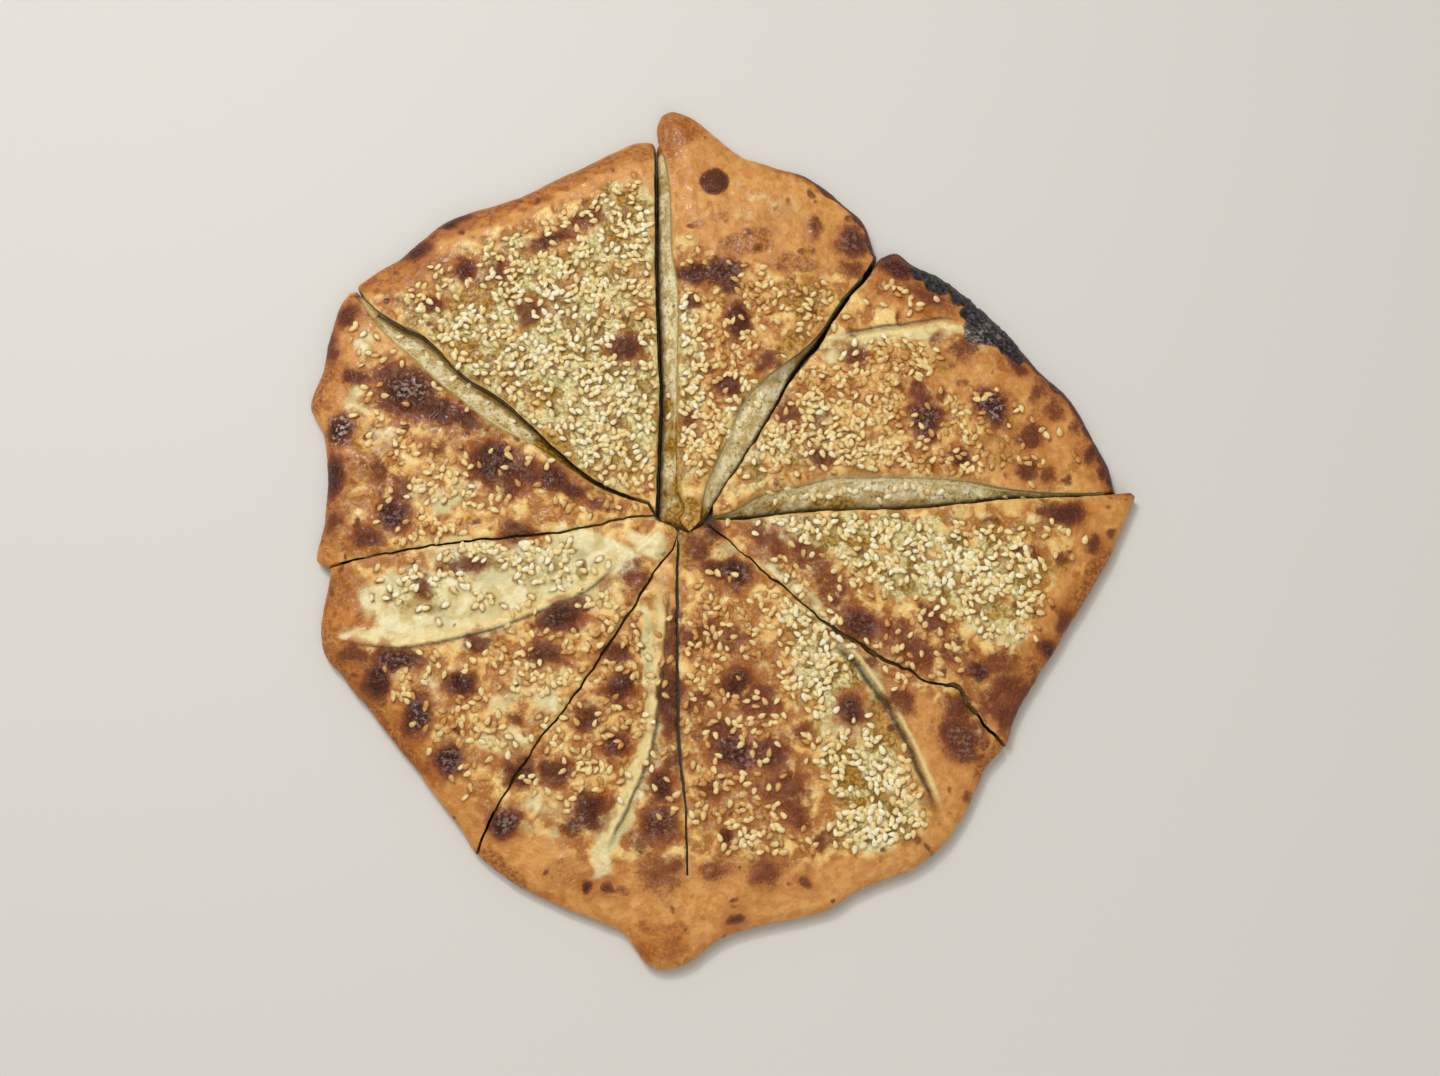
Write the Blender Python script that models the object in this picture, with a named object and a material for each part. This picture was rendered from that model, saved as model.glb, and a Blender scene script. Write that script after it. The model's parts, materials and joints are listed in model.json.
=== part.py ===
"""A potato pie: a flat round filled bread, cut into seven pieces that keep the whole pie's shape.

Metres, +Z up and +Y towards the pie's far point. The origin is under the middle of the pie's box,
on the surface that it rests on. The sizes below are in millimetres, and MM turns them into metres.
Each piece is a crust, open along its knife cuts, round a layer of potato filling that shows there.
"""

import math
import random

import bmesh
import bpy
from mathutils import Vector
from mathutils.geometry import delaunay_2d_cdt

MM = 0.001

# Thickness of the pie
PLATEAU = 9.4
RIM_TOP = 6.0
RIM_SLOPE = 9.0
BOTTOM_CRUST = 1.8
FILLING_TOP = 6.9
FILLED_FROM_RIM = 12.0
FIT_GAP = 0.3
THINNEST_TOP = 0.8

# A piece is lofted through five outlines, at these shares of its own height
LEVELS = (0.0, 0.19, 0.48, 0.76, 1.0)
RIM_INSETS = (1.7, 0.4, 0.0, 0.6, 2.2)
UPRIGHT = (0.0, 0.0, 0.0, 0.0, 0.0)
BULGING = (0.0, 0.0, 0.3, 0.8, 1.0)
SHELVING = (0.0, 0.0, 0.05, 0.85, 1.0)

# Spacing of the mesh
RIM_STEP = 6.5
CUT_STEP = 15.0
TOP_STEP = 10.0
LAYER_STEP = 9.0
CLEAR_OF_EDGE = 2.6
FLAT_ANGLE = math.radians(0.5)

# Sesame seeds
SEED_LENGTH = 3.3
SEED_WIDTH = 2.1
SEED_HEIGHT = 1.5
SEED_LIFT = 0.25
SEED_TAPER = 0.35
SEED_TILT = 0.15
SEED_APART = 12.6
SEEDS_FROM_CUT = 3.5
SEEDS_FROM_RIM = 11.0
SEEDS_UP_TO = 88
SEEDS_DOWN_TO = -116

# Knife cuts from the middle outwards: x, y and the width of the gap
CUTS = {
    "a": [
        (-21.5, 1, 0.9), (-21, 18, 0.9), (-20.5, 41, 0.9), (-22, 75, 0.9), (-22.6, 112, 1),
        (-22.8, 134.5, 1.6),
    ],
    "b": [
        (-3, 3, 0.6), (2, 11, 0.6), (9, 22, 0.6), (18, 37, 0.8), (23, 47, 1.6), (29, 56, 3.6), (34, 62, 2.2),
        (42, 75, 1.8), (50, 85, 1.8), (54, 93, 2.4),
    ],
    "c": [
        (-3, -1.8, 0.7), (9, -1.5, 0.8), (28, 1, 1), (66, 2.5, 1.2), (93, 5, 0.8), (119, 6.5, 0.7),
        (132, 8.2, 0.8),
    ],
    "d": [
        (-5, -3.5, 0.6), (3, -10, 0.6), (17, -22, 0.7), (33, -36, 0.8), (47, -45, 1.4), (61, -53, 1.2),
        (69, -57, 0.9), (76, -57.5, 1.6), (80, -64, 1.4), (86, -71, 1), (91.5, -76.5, 1.2),
    ],
    "e": [
        (-24, 4, 0.7), (-40, 10, 0.8), (-53, 20, 0.8), (-74, 39.5, 1), (-87, 48, 1), (-100, 61, 1.2),
        (-111, 67, 1.2), (-118, 72, 1.4), (-125, 81, 1.4),
    ],
    "f": [
        (-22.5, -0.5, 0.7), (-30, -1, 0.8), (-53, -6, 0.8), (-81, -9, 0.8), (-99, -11.5, 0.8),
        (-114, -14, 0.8), (-130, -17.3, 1),
    ],
    "h": [
        (-16, -12, 0.6), (-21.5, -19, 0.8), (-35, -41.5, 0.8), (-49, -63, 0.7), (-59, -76, 0.7),
        (-74, -101, 0.8), (-78, -111, 1),
    ],
    "j": [
        (-14.2, -8.5, 0.8), (-14.4, -23, 1), (-14.3, -49, 1), (-13.5, -78, 1.1), (-11.5, -96, 0.8),
        (-10.8, -118, 0.6),
    ],
}

# Where a cut face slopes, its crust ends further in, along this line
LIPS = {
    "a": [
        (-13, -1.5), (-11.5, 2), (-14.2, 9), (-14.5, 43), (-14.2, 79), (-16.5, 93), (-17.3, 112), (-19, 126),
        (-21.6, 134),
    ],
    "b": [
        (-7, 0.5), (-5.5, 9), (-2, 18), (2, 27), (5, 35), (9, 42), (18, 50), (26, 56), (33, 63), (41, 75.5),
        (49, 85.6), (52.8, 93),
    ],
    "c": [
        (-2.8, -1), (3.5, 1), (13.5, 7), (25.5, 10), (37.5, 13), (60, 13.3), (79.5, 12), (93, 9),
        (105.5, 7.5), (119, 7.4), (130, 8.6),
    ],
    "e": [
        (-24.5, 3.2), (-40, 8.8), (-60, 22), (-77, 31), (-87, 39), (-97, 47), (-104, 54), (-111, 60),
        (-118, 68), (-125, 78.5),
    ],
}

# The outer edge of each piece, clockwise
RIMS = {
    "north_west": [
        (-124.5, 82), (-118, 87), (-110, 92), (-98, 103.5), (-87, 109), (-69, 115), (-56, 122), (-42, 129),
        (-30, 135), (-23.8, 135),
    ],
    "north": [
        (-21.8, 134), (-22.5, 140), (-21, 145), (-17, 147), (-9, 143.5), (7, 130), (18, 126), (30, 122),
        (42, 112), (49, 105), (52.5, 94),
    ],
    "north_east": [
        (55.2, 92.5), (60, 94), (66, 89.5), (75, 85), (86, 76), (97, 65), (107, 52), (117, 42), (124, 29),
        (129.5, 16), (131, 9),
    ],
    "east": [(138.5, 8.4), (134, -2), (126, -18), (114, -37), (103, -54), (96, -65), (92.5, -75.5)],
    "south": [
        (90.5, -77.5), (85, -84), (78, -98), (69, -110), (60, -116), (44, -122), (32, -129), (12, -133.5),
        (0, -137), (-9, -144), (-17, -147), (-24, -145), (-32, -135), (-50, -128), (-66, -120), (-77, -112),
    ],
    "south_west": [
        (-79, -110), (-86, -100), (-97, -86), (-110, -70), (-124, -53), (-130.5, -45), (-131, -33),
        (-129, -18),
    ],
    "west": [
        (-132, -16.5), (-134, -14), (-132, -2), (-131.5, 14), (-134, 29), (-138.5, 39), (-135, 51),
        (-133.5, 62), (-130, 75), (-126, 81),
    ],
}

# Piece: the cut and side that it starts from, the cut and side that it ends at, and its inner tip,
# whose points may lean to the right by a third number
PIECES = {
    "north_west": (("e", "right"), ("a", "left"), []),
    "north": (("a", "right"), ("b", "left"), [(-7, -2.5), (-10.5, -6), (-15, -3.5, 2), (-20.3, -1.2, 7)]),
    "north_east": (("b", "right"), ("c", "left"), []),
    "east": (("c", "right"), ("d", "left"), []),
    "south": (("d", "right"), ("h", "left"), []),
    "south_west": (("h", "right"), ("f", "left"), [(-21.4, -2.2), (-17, -4.8), (-15.3, -8.5)]),
    "west": (("f", "right"), ("e", "left"), []),
}
SLOPED_FACES = {
    ("a", "right"): ("a", BULGING),
    ("b", "left"): ("b", SHELVING),
    ("c", "left"): ("c", BULGING),
    ("e", "left"): ("e", BULGING),
}

# Crust edges inside the pieces, which lie lower on the right: the line, its drop and how far that fades
FLAPS = [
    ([(38, 61), (46.5, 63.5), (60, 65.5), (73.5, 68), (82, 67)], 1.3, 16),
    ([(35, -40.5), (44, -48.5), (50, -57), (56, -66), (59.5, -72.5), (63, -80), (66, -87), (70, -98)], 1.5, 26),
    ([(-18, -24), (-18.7, -49), (-20.5, -65), (-22.7, -78), (-29.5, -95), (-36.5, -110)], 1.4, 9),
    ([(-33.5, -16), (-45.5, -26), (-58.5, -32), (-81.5, -40), (-95.5, -43), (-110, -44), (-122, -42)], 1.5, 30),
]
FLAP_WIDTH = 0.9
FLAP_PARTS = 8
FLAP_ENDS = 8.0

# Blisters of the top crust: x, y, half length, half width and height.
# A ring of points at this share of the size, and one in the middle, give each its dome
BLISTERS = [
    (-2, 118, 5, 5, 1.3), (-3, 84, 9, 4.3, 0.9), (6, 66, 4, 5, 0.9), (44, 96, 5, 5, 0.8), (11, 96, 6, 5, 0.6),
    (31, 101, 3.5, 3.5, 0.5), (88, 61, 7, 7, 1.0), (91, 36, 4.7, 6.7, 0.9), (68, 33, 4.7, 6.7, 0.9),
    (79, 21, 4, 4, 0.6), (104, 25, 5, 4, 0.7), (112, -3, 9, 4, 0.8), (82, -52, 4.5, 4.5, 1.0),
    (107, -36, 5, 5, 0.6), (42, -36, 4, 4, 0.8), (66, -39, 7, 8, 0.9), (78, -75, 5, 6, 0.9),
    (42, -65, 4, 5, 0.8), (23, -94, 5, 6, 0.8), (4, -78, 7, 5, 0.9), (5, -23, 4.5, 4.5, 1.0),
    (-7.5, -42, 4, 4.5, 0.9), (7, -56, 4.5, 4.5, 0.8), (13, -119, 5, 4, 0.6), (-20, -101, 5, 4.5, 0.7),
    (-18, -126, 8, 6, 0.6), (-33, -80, 4, 4, 0.8), (-43, -98, 4, 5.3, 0.9), (-32, -58, 4.5, 4.5, 0.9),
    (-54, -85, 4, 3.5, 0.8), (-83, -57, 4.5, 4.5, 1.0), (-98, -67, 4.5, 6, 1.1), (-112, -57, 5, 4, 0.9),
    (-104, -50, 6, 3.2, 0.7), (-88, -81, 4.5, 4.5, 0.9), (-52, -38, 5, 4, 0.8), (-62, -50, 4, 4, 0.7),
    (-96, -25, 3.5, 3.5, 0.5), (-104, 42, 8.5, 6.7, 1.3), (-80, 24, 5, 4, 0.8), (-74, 14, 7, 5.5, 1.1),
    (-53, 8, 5.5, 4.5, 0.8), (-106, -2, 5, 5, 1.0), (-120, 14, 4, 5, 0.7), (-124, 29, 4.5, 4.5, 0.8),
    (-88, 86, 4, 4, 0.6), (-98, 73, 3.6, 3.6, 0.6), (-32, 57, 4.5, 4.5, 0.7), (-55, 97, 5.5, 4, 0.6),
    (-63, 68, 4, 4, 0.5),
]
BLISTER_RING = 0.85


def sideways(points, index):
    """The unit vector to the right of a line's direction of travel, at one of its points."""
    before = points[max(index - 1, 0)]
    after = points[min(index + 1, len(points) - 1)]
    along = (after - before).normalized()
    return Vector((along.y, -along.x))


def smooth_line(points, step):
    """Points about a step apart along the smooth curve through the given ones."""
    places = [Vector(point[:2]) for point in points]
    line = []
    for i in range(len(places) - 1):
        start, end = places[i], places[i + 1]
        leaving = (end - places[max(i - 1, 0)]) / 2
        arriving = (places[min(i + 2, len(places) - 1)] - start) / 2
        longest = (end - start).length
        leaving = leaving.normalized() * min(leaving.length, longest)
        arriving = arriving.normalized() * min(arriving.length, longest)
        parts = max(1, round(longest / step))
        for k in range(parts):
            t = k / parts
            line.append(
                start * (2 * t**3 - 3 * t**2 + 1)
                + leaving * (t**3 - 2 * t**2 + t)
                + end * (3 * t**2 - 2 * t**3)
                + arriving * (t**3 - t**2)
            )
    return line + [places[-1]]


def shares_along(points):
    """How far along a line each of its points lies, from 0 to 1."""
    reach = [0.0]
    for a, b in zip(points, points[1:]):
        reach.append(reach[-1] + (b - a).length)
    return [r / reach[-1] for r in reach]


def places_at(points, shares):
    """The places at the given shares of a line's length."""
    own = shares_along(points)
    places = []
    for share in shares:
        k = 0
        while k < len(points) - 2 and own[k + 1] < share:
            k += 1
        places.append(points[k].lerp(points[k + 1], (share - own[k]) / (own[k + 1] - own[k])))
    return places


def split_long(points, longest):
    """A line's own points, with more between those that are far apart."""
    line = []
    for a, b in zip(points, points[1:]):
        parts = math.ceil((b - a).length / longest)
        line += [a.lerp(b, i / parts) for i in range(parts)]
    return line + [points[-1]]


def cut_side(name, side):
    """One wall of a knife cut, from the middle outwards."""
    centre = [Vector(point[:2]) for point in CUTS[name]]
    way = 0.5 if side == "right" else -0.5
    return [p + sideways(centre, i) * way * CUTS[name][i][2] for i, p in enumerate(centre)]


def outline_of_pie():
    whole = []
    for rim in RIMS.values():
        whole += smooth_line(rim, RIM_STEP)
    return whole


OUTLINE = outline_of_pie()


def distance_to_line(point, line):
    """The distance to a line, and whether the point lies to the right of it."""
    nearest, to_right = 1e9, False
    for a, b in zip(line, line[1:]):
        span = b - a
        share = min(1.0, max(0.0, (point - a).dot(span) / max(span.length_squared, 1e-9)))
        away = point - (a + span * share)
        if away.length < nearest:
            nearest = away.length
            to_right = span.x * away.y - span.y * away.x < 0
    return nearest, to_right


def from_rim(point):
    return distance_to_line(point, OUTLINE + OUTLINE[:1])[0]


def flap_drop(point):
    """How far the crust lies lower beside a flap's edge."""
    drop = 0.0
    for line, deepest, fades in FLAPS:
        points = [Vector(p) for p in line]
        away, to_right = distance_to_line(point, points)
        if to_right and away < fades:
            ends = min((point - points[0]).length, (point - points[-1]).length)
            drop = max(drop, deepest * (1 - away / fades) * min(1.0, ends / FLAP_ENDS))
    return drop


def crust_level(point):
    """The height of the top crust above the surface that the pie rests on, without its blisters."""
    inside = max(0.0, from_rim(point) - RIM_INSETS[-1])
    swell = 0.25 * math.sin(point.x / 17 + 1.0) * math.cos(point.y / 14)
    rise = 1 - math.exp(-inside / RIM_SLOPE)
    return RIM_TOP + (PLATEAU - RIM_TOP + swell) * rise


def top_height(point):
    level = crust_level(point)
    spare = max(0.0, level - FILLING_TOP - FIT_GAP - THINNEST_TOP)
    height = level - min(spare, flap_drop(point))
    for x, y, half_length, half_width, rise in BLISTERS:
        r = math.hypot((point.x - x) / half_length, (point.y - y) / half_width)
        if r < 1:
            height += rise * (1 - r * r) ** 1.5
    return height


def boundary_of(piece):
    """The piece's edge, clockwise from its inner tip: one list of places for each of the levels."""
    first, last, tip = PIECES[piece]
    places = []
    for (name, side), outward in ((first, True), (last, False)):
        foot = cut_side(name, side)
        lip, shares = cut_side(name, side), UPRIGHT
        if (name, side) in SLOPED_FACES:
            lip_name, shares = SLOPED_FACES[name, side]
            lip = [Vector(p) for p in LIPS[lip_name]]
        foot = split_long(foot, CUT_STEP)
        lip = places_at(lip, shares_along(foot))
        count = len(foot)
        inward = (foot[-2] - foot[-1]).normalized()
        columns = []
        for i in range(count):
            inset = inward if i == count - 1 else Vector((0, 0))
            leaning = [foot[i].lerp(lip[i], share) for share in shares]
            columns.append([place + inset * rim for place, rim in zip(leaning, RIM_INSETS)])
        if outward:
            places += columns
            rim = smooth_line(RIMS[piece], RIM_STEP)
            for i in range(1, len(rim) - 1):
                places.append([rim[i] + sideways(rim, i) * inset for inset in RIM_INSETS])
        else:
            places += columns[::-1]
    if piece == "south":
        slit_west = cut_side("j", "right")
        slit_east = cut_side("j", "left")
        places += [[p] * len(LEVELS) for p in slit_west]
        places += [[p] * len(LEVELS) for p in slit_east[::-1]]
    for x, y, *lean in tip:
        places.append([Vector((x + sum(lean) * share, y)) for share in BULGING])
    return [[column[k] for column in places] for k in range(len(LEVELS))]


def inside(point, loop):
    crossed = False
    for a, b in zip(loop, loop[1:] + loop[:1]):
        if (a.y > point.y) != (b.y > point.y):
            if point.x < a.x + (b.x - a.x) * (point.y - a.y) / (b.y - a.y):
                crossed = not crossed
    return crossed


def clear_of(point, others, gap):
    return all((point - other).length > gap for other in others)


def top_points(loop, draw):
    """Places inside a piece's top edge where its surface bends, then an even spread between them."""
    closed_loop = loop + loop[:1]
    kept, edges = [], []

    def fits(point, gap):
        return inside(point, loop) and distance_to_line(point, closed_loop)[0] > gap

    for line, _, _ in FLAPS:
        high = places_at([Vector(p) for p in line], [i / FLAP_PARTS for i in range(FLAP_PARTS + 1)])
        low = [p + sideways(high, i) * FLAP_WIDTH for i, p in enumerate(high)]
        for row in (high, low):
            if all(fits(p, 0.7) for p in row):
                edges += [(len(kept) + i, len(kept) + i + 1) for i in range(len(row) - 1)]
                kept += row
    for x, y, half_length, half_width, _ in BLISTERS:
        ring = [Vector((x, y))]
        for i in range(6):
            turn = math.pi * i / 3
            reach = Vector((half_length * math.cos(turn), half_width * math.sin(turn)))
            ring.append(ring[0] + reach * BLISTER_RING)
        flaps = kept[:]
        kept += [p for p in ring if fits(p, 1.0) and clear_of(p, flaps, 1.5)]
    lows = Vector((min(p.x for p in loop), min(p.y for p in loop)))
    highs = Vector((max(p.x for p in loop), max(p.y for p in loop)))
    y, odd = lows.y, False
    while y < highs.y:
        x = lows.x + (TOP_STEP / 2 if odd else 0)
        while x < highs.x:
            point = Vector((x + draw.uniform(-1, 1), y + draw.uniform(-1, 1)))
            if fits(point, CLEAR_OF_EDGE) and clear_of(point, kept, 0.62 * TOP_STEP):
                kept.append(point)
            x += TOP_STEP
        y += TOP_STEP * math.sqrt(3) / 2
        odd = not odd
    return kept, edges


def flat_triangles(loop, extra, edges):
    """Triangles that fill a loop: their corners, and each corner's place in the loop or None."""
    count = len(loop)
    joined = [(a + count, b + count) for a, b in edges]
    corners, _, faces, origins, _, _ = delaunay_2d_cdt(loop + extra, joined, [list(range(count))], 1, 1e-6)
    places = [next((i for i in origin if i < count), None) for origin in origins]
    return corners, faces, places


def add_object(name, mesh, collection, material=None):
    obj = bpy.data.objects.new(name, mesh)
    collection.objects.link(obj)
    if material:
        mesh.materials.append(material)
    return obj


def lofted_piece(name, piece, collection, material, draw):
    """The whole piece, crust and filling together, as one closed solid."""
    loops = [loop[::-1] for loop in boundary_of(piece)]
    count = len(loops[0])
    shape = bmesh.new()
    rows = []
    for level, loop in zip(LEVELS, loops):
        row = []
        for place, edge in zip(loop, loops[-1]):
            row.append(shape.verts.new((place.x * MM, place.y * MM, level * top_height(edge) * MM)))
        rows.append(row)
    for lower, upper in zip(rows, rows[1:]):
        for i in range(count):
            j = (i + 1) % count
            shape.faces.new((lower[i], lower[j], upper[j], upper[i]))
    extra, edges = top_points(loops[-1], draw)
    corners, faces, places = flat_triangles(loops[-1], extra, edges)
    verts = []
    for corner, place in zip(corners, places):
        if place is None:
            verts.append(shape.verts.new((corner.x * MM, corner.y * MM, top_height(corner) * MM)))
        else:
            verts.append(rows[-1][place])
    for face in faces:
        shape.faces.new([verts[i] for i in face])
    corners, faces, places = flat_triangles(loops[0], [], [])
    for face in faces:
        shape.faces.new([rows[0][places[i]] for i in reversed(face)])
    bmesh.ops.triangulate(shape, faces=shape.faces[:])
    bmesh.ops.recalc_face_normals(shape, faces=shape.faces[:])
    mesh = bpy.data.meshes.new(name)
    shape.to_mesh(mesh)
    shape.free()
    return add_object(name, mesh, collection, material)


def slab(name, inset, bottom, top, collection):
    """A flat layer with the pie's outline, brought in from the rim."""
    curve = bpy.data.curves.new(name, "CURVE")
    curve.dimensions = "2D"
    curve.fill_mode = "BOTH"
    curve.extrude = (top - bottom) / 2 * MM
    places = []
    for i, point in enumerate(OUTLINE):
        moved = point + sideways(OUTLINE, i) * inset
        if from_rim(moved) > inset - 0.4 and clear_of(moved, places[-1:] + places[:1], LAYER_STEP):
            places.append(moved)
    spline = curve.splines.new("POLY")
    spline.points.add(len(places) - 1)
    for control, place in zip(spline.points, places):
        control.co = (place.x * MM, place.y * MM, 0, 1)
    spline.use_cyclic_u = True
    drawn = bpy.data.objects.new(name + "_outline", curve)
    collection.objects.link(drawn)
    bpy.context.view_layer.update()
    mesh = bpy.data.meshes.new_from_object(drawn.evaluated_get(bpy.context.evaluated_depsgraph_get()))
    bpy.data.objects.remove(drawn)
    shape = bmesh.new()
    shape.from_mesh(mesh)
    bmesh.ops.remove_doubles(shape, verts=shape.verts[:], dist=0.00001)
    bmesh.ops.dissolve_limit(shape, angle_limit=FLAT_ANGLE, verts=shape.verts[:], edges=shape.edges[:])
    bmesh.ops.translate(shape, verts=shape.verts[:], vec=(0, 0, (bottom + top) / 2 * MM))
    bmesh.ops.recalc_face_normals(shape, faces=shape.faces[:])
    shape.to_mesh(mesh)
    shape.free()
    return as_cutter(add_object(name, mesh, collection))


def as_cutter(obj):
    obj.hide_render = True
    obj.display_type = "WIRE"
    return obj


def apply_boolean(obj, operation, other=None, collection=None, solver="EXACT"):
    modifier = obj.modifiers.new(operation.lower(), "BOOLEAN")
    modifier.operation = operation
    modifier.solver = solver
    if collection:
        modifier.operand_type = "COLLECTION"
        modifier.collection = collection
    else:
        modifier.object = other
    bpy.context.view_layer.update()
    result = bpy.data.meshes.new_from_object(obj.evaluated_get(bpy.context.evaluated_depsgraph_get()))
    obj.modifiers.remove(modifier)
    old = obj.data
    obj.data = result
    bpy.data.meshes.remove(old)


def seed_places(piece, draw):
    """Where the larger fused seeds lie: evenly apart, on the filled part of the piece."""
    loop = boundary_of(piece)[-1]
    closed_loop = loop + loop[:1]
    flaps = [[Vector(p) for p in line] for line, _, _ in FLAPS]
    lows = Vector((min(p.x for p in loop), min(p.y for p in loop)))
    highs = Vector((max(p.x for p in loop), max(p.y for p in loop)))
    places = []
    for _ in range(4000):
        point = Vector((draw.uniform(lows.x, highs.x), draw.uniform(lows.y, highs.y)))
        if not inside(point, loop) or not clear_of(point, places, SEED_APART):
            continue
        if piece == "north" and point.y > SEEDS_UP_TO or point.y < SEEDS_DOWN_TO:
            continue
        if from_rim(point) < SEEDS_FROM_RIM:
            continue
        if distance_to_line(point, closed_loop)[0] < SEEDS_FROM_CUT:
            continue
        if any(distance_to_line(point, line)[0] < SEEDS_FROM_CUT for line in flaps):
            continue
        places.append(point)
    return places


def fuse_seeds(crust, piece, draw):
    """Joins flat drop-shaped seeds to the top of a crust in one union."""
    seeds = bpy.data.collections.new("seeds_on_" + piece)
    bpy.context.scene.collection.children.link(seeds)
    for i, place in enumerate(seed_places(piece, draw)):
        shape = bmesh.new()
        bmesh.ops.create_uvsphere(shape, u_segments=5, v_segments=4, radius=0.5 * MM)
        for vert in shape.verts:
            narrower = 1 - SEED_TAPER * vert.co.x / (0.5 * MM)
            vert.co.x *= SEED_LENGTH
            vert.co.y *= SEED_WIDTH * narrower
            vert.co.z *= SEED_HEIGHT
        mesh = bpy.data.meshes.new("seed")
        shape.to_mesh(mesh)
        shape.free()
        seed = add_object(f"seed_{piece}_{i}", mesh, seeds)
        seed.location = (place.x * MM, place.y * MM, (top_height(place) + SEED_LIFT) * MM)
        tilts = draw.uniform(-SEED_TILT, SEED_TILT), draw.uniform(-SEED_TILT, SEED_TILT)
        seed.rotation_euler = (*tilts, draw.uniform(0, 2 * math.pi))
    apply_boolean(crust, "UNION", collection=seeds, solver="MANIFOLD")
    for seed in list(seeds.objects):
        bpy.data.objects.remove(seed)
    bpy.data.collections.remove(seeds)


def food_material(name, colour, roughness):
    material = bpy.data.materials.new(name)
    material.use_nodes = True
    surface = material.node_tree.nodes["Principled BSDF"]
    surface.inputs["Base Color"].default_value = (*colour, 1)
    surface.inputs["Roughness"].default_value = roughness
    surface.inputs["Metallic"].default_value = 0
    material.diffuse_color = (*colour, 1)
    return material


def build_pie():
    for obj in list(bpy.data.objects):
        bpy.data.objects.remove(obj)
    pie = bpy.data.collections.new("potato_pie")
    cutters = bpy.data.collections.new("cutters")
    bpy.context.scene.collection.children.link(pie)
    bpy.context.scene.collection.children.link(cutters)
    baked = food_material("baked_crust", (0.60, 0.33, 0.11), 0.45)
    mash = food_material("potato_filling", (0.62, 0.56, 0.33), 0.6)
    filled = slab("filling_layer", FILLED_FROM_RIM, BOTTOM_CRUST, FILLING_TOP, cutters)
    lowest, highest = BOTTOM_CRUST - FIT_GAP, FILLING_TOP + FIT_GAP
    room = slab("room_for_filling", FILLED_FROM_RIM - FIT_GAP, lowest, highest, cutters)
    for number, piece in enumerate(PIECES):
        crust = lofted_piece("crust_" + piece, piece, pie, baked, random.Random(number))
        filling = add_object("filling_" + piece, crust.data.copy(), pie)
        filling.data.materials.clear()
        filling.data.materials.append(mash)
        apply_boolean(crust, "DIFFERENCE", room)
        apply_boolean(filling, "INTERSECT", filled)
        fuse_seeds(crust, piece, random.Random(100 + number))
    for cutter in list(cutters.objects):
        bpy.data.objects.remove(cutter)
    bpy.data.collections.remove(cutters)


build_pie()
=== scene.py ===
"""The looks of a potato pie: browned crusts, potato filling at the cuts and sesame seeds on top.

Sizes are in millimetres in the pie's own frame, and MM turns them into metres. The outlines, cuts and
blisters are those of the solids. Every piece is built again from them, finely enough for its wrinkles,
and its browning comes from soft spots and patches that are laid on a map of the pie's top.
"""

import json
import math

import bmesh
import bpy
import numpy as np
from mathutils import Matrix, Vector
from mathutils.bvhtree import BVHTree
from mathutils.geometry import delaunay_2d_cdt
from mathutils.kdtree import KDTree

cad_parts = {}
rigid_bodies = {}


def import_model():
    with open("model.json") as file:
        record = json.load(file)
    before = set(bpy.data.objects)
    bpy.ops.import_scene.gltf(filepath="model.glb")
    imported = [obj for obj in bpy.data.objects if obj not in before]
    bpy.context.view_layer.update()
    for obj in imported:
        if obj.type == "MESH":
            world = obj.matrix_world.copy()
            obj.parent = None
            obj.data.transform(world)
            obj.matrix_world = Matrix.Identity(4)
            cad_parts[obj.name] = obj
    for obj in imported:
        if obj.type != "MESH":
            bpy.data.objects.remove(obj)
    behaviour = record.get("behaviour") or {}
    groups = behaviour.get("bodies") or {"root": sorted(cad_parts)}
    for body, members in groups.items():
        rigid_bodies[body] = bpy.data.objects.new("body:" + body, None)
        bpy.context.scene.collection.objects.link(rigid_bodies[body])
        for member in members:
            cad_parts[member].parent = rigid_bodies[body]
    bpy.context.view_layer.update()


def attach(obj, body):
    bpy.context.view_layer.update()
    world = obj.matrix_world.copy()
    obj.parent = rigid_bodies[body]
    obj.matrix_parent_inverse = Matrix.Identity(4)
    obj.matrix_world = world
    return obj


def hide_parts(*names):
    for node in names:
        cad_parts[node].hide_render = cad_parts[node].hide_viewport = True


MM = 0.001

# Numbers that start the random draws of the seeds' places, of how they lie and of the pieces' meshes
SEED_PLACES_DRAW = 17
SEED_LAYING_DRAW = 23
FIRST_PIECE_DRAW = 200
FRECKLE_DRAW = 5
PUFF_DRAW = 6

# Stand-ins for nothing and for very far
TINY = 1e-9
FAR = 1e9

# Thickness of the pie
PLATEAU = 9.4
RIM_TOP = 6.0
RIM_SLOPE = 9.0
HIGHEST = 11.5
BOTTOM_CRUST = 1.8
FILLING_TOP = 6.9
FILLED_FROM_RIM = 12.0
ROOM_ROUND_FILLING = 0.08
LEAST_OVER_FILLING = 1.1

# A piece is lofted through five outlines, at these shares of its own height
LEVELS = np.array((0.0, 0.19, 0.48, 0.76, 1.0))
RIM_INSETS = np.array((1.7, 0.4, 0.0, 0.6, 2.2))
UPRIGHT = np.array((0.0, 0.0, 0.0, 0.0, 0.0))
BULGING = np.array((0.0, 0.0, 0.3, 0.8, 1.0))
SHELVING = np.array((0.0, 0.0, 0.05, 0.85, 1.0))
WALL_LEVELS = 41

# A gap closes towards its foot, to this share of its width
FOOT_GAP = 0.15
GAP_OPENS = (-0.05, 0.6)

# How far the foot of a leaning cut lies to the right of its top, and how soon its ends stand upright
CUT_LEANS = {"e": 1.8}
LEAN_FROM = 12.0

# How far a cut wavers, and what fades the waver near the middle and near the rim
CUT_WAVER = {"d": 0.8, "b": 0.4, "h": 0.45, "f": 0.4}
USUAL_WAVER = 0.25
TREMBLE = 0.4
WAVER_FROM_MIDDLE = (2, 10)
WAVER_FROM_RIM = (1, 9)

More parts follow.
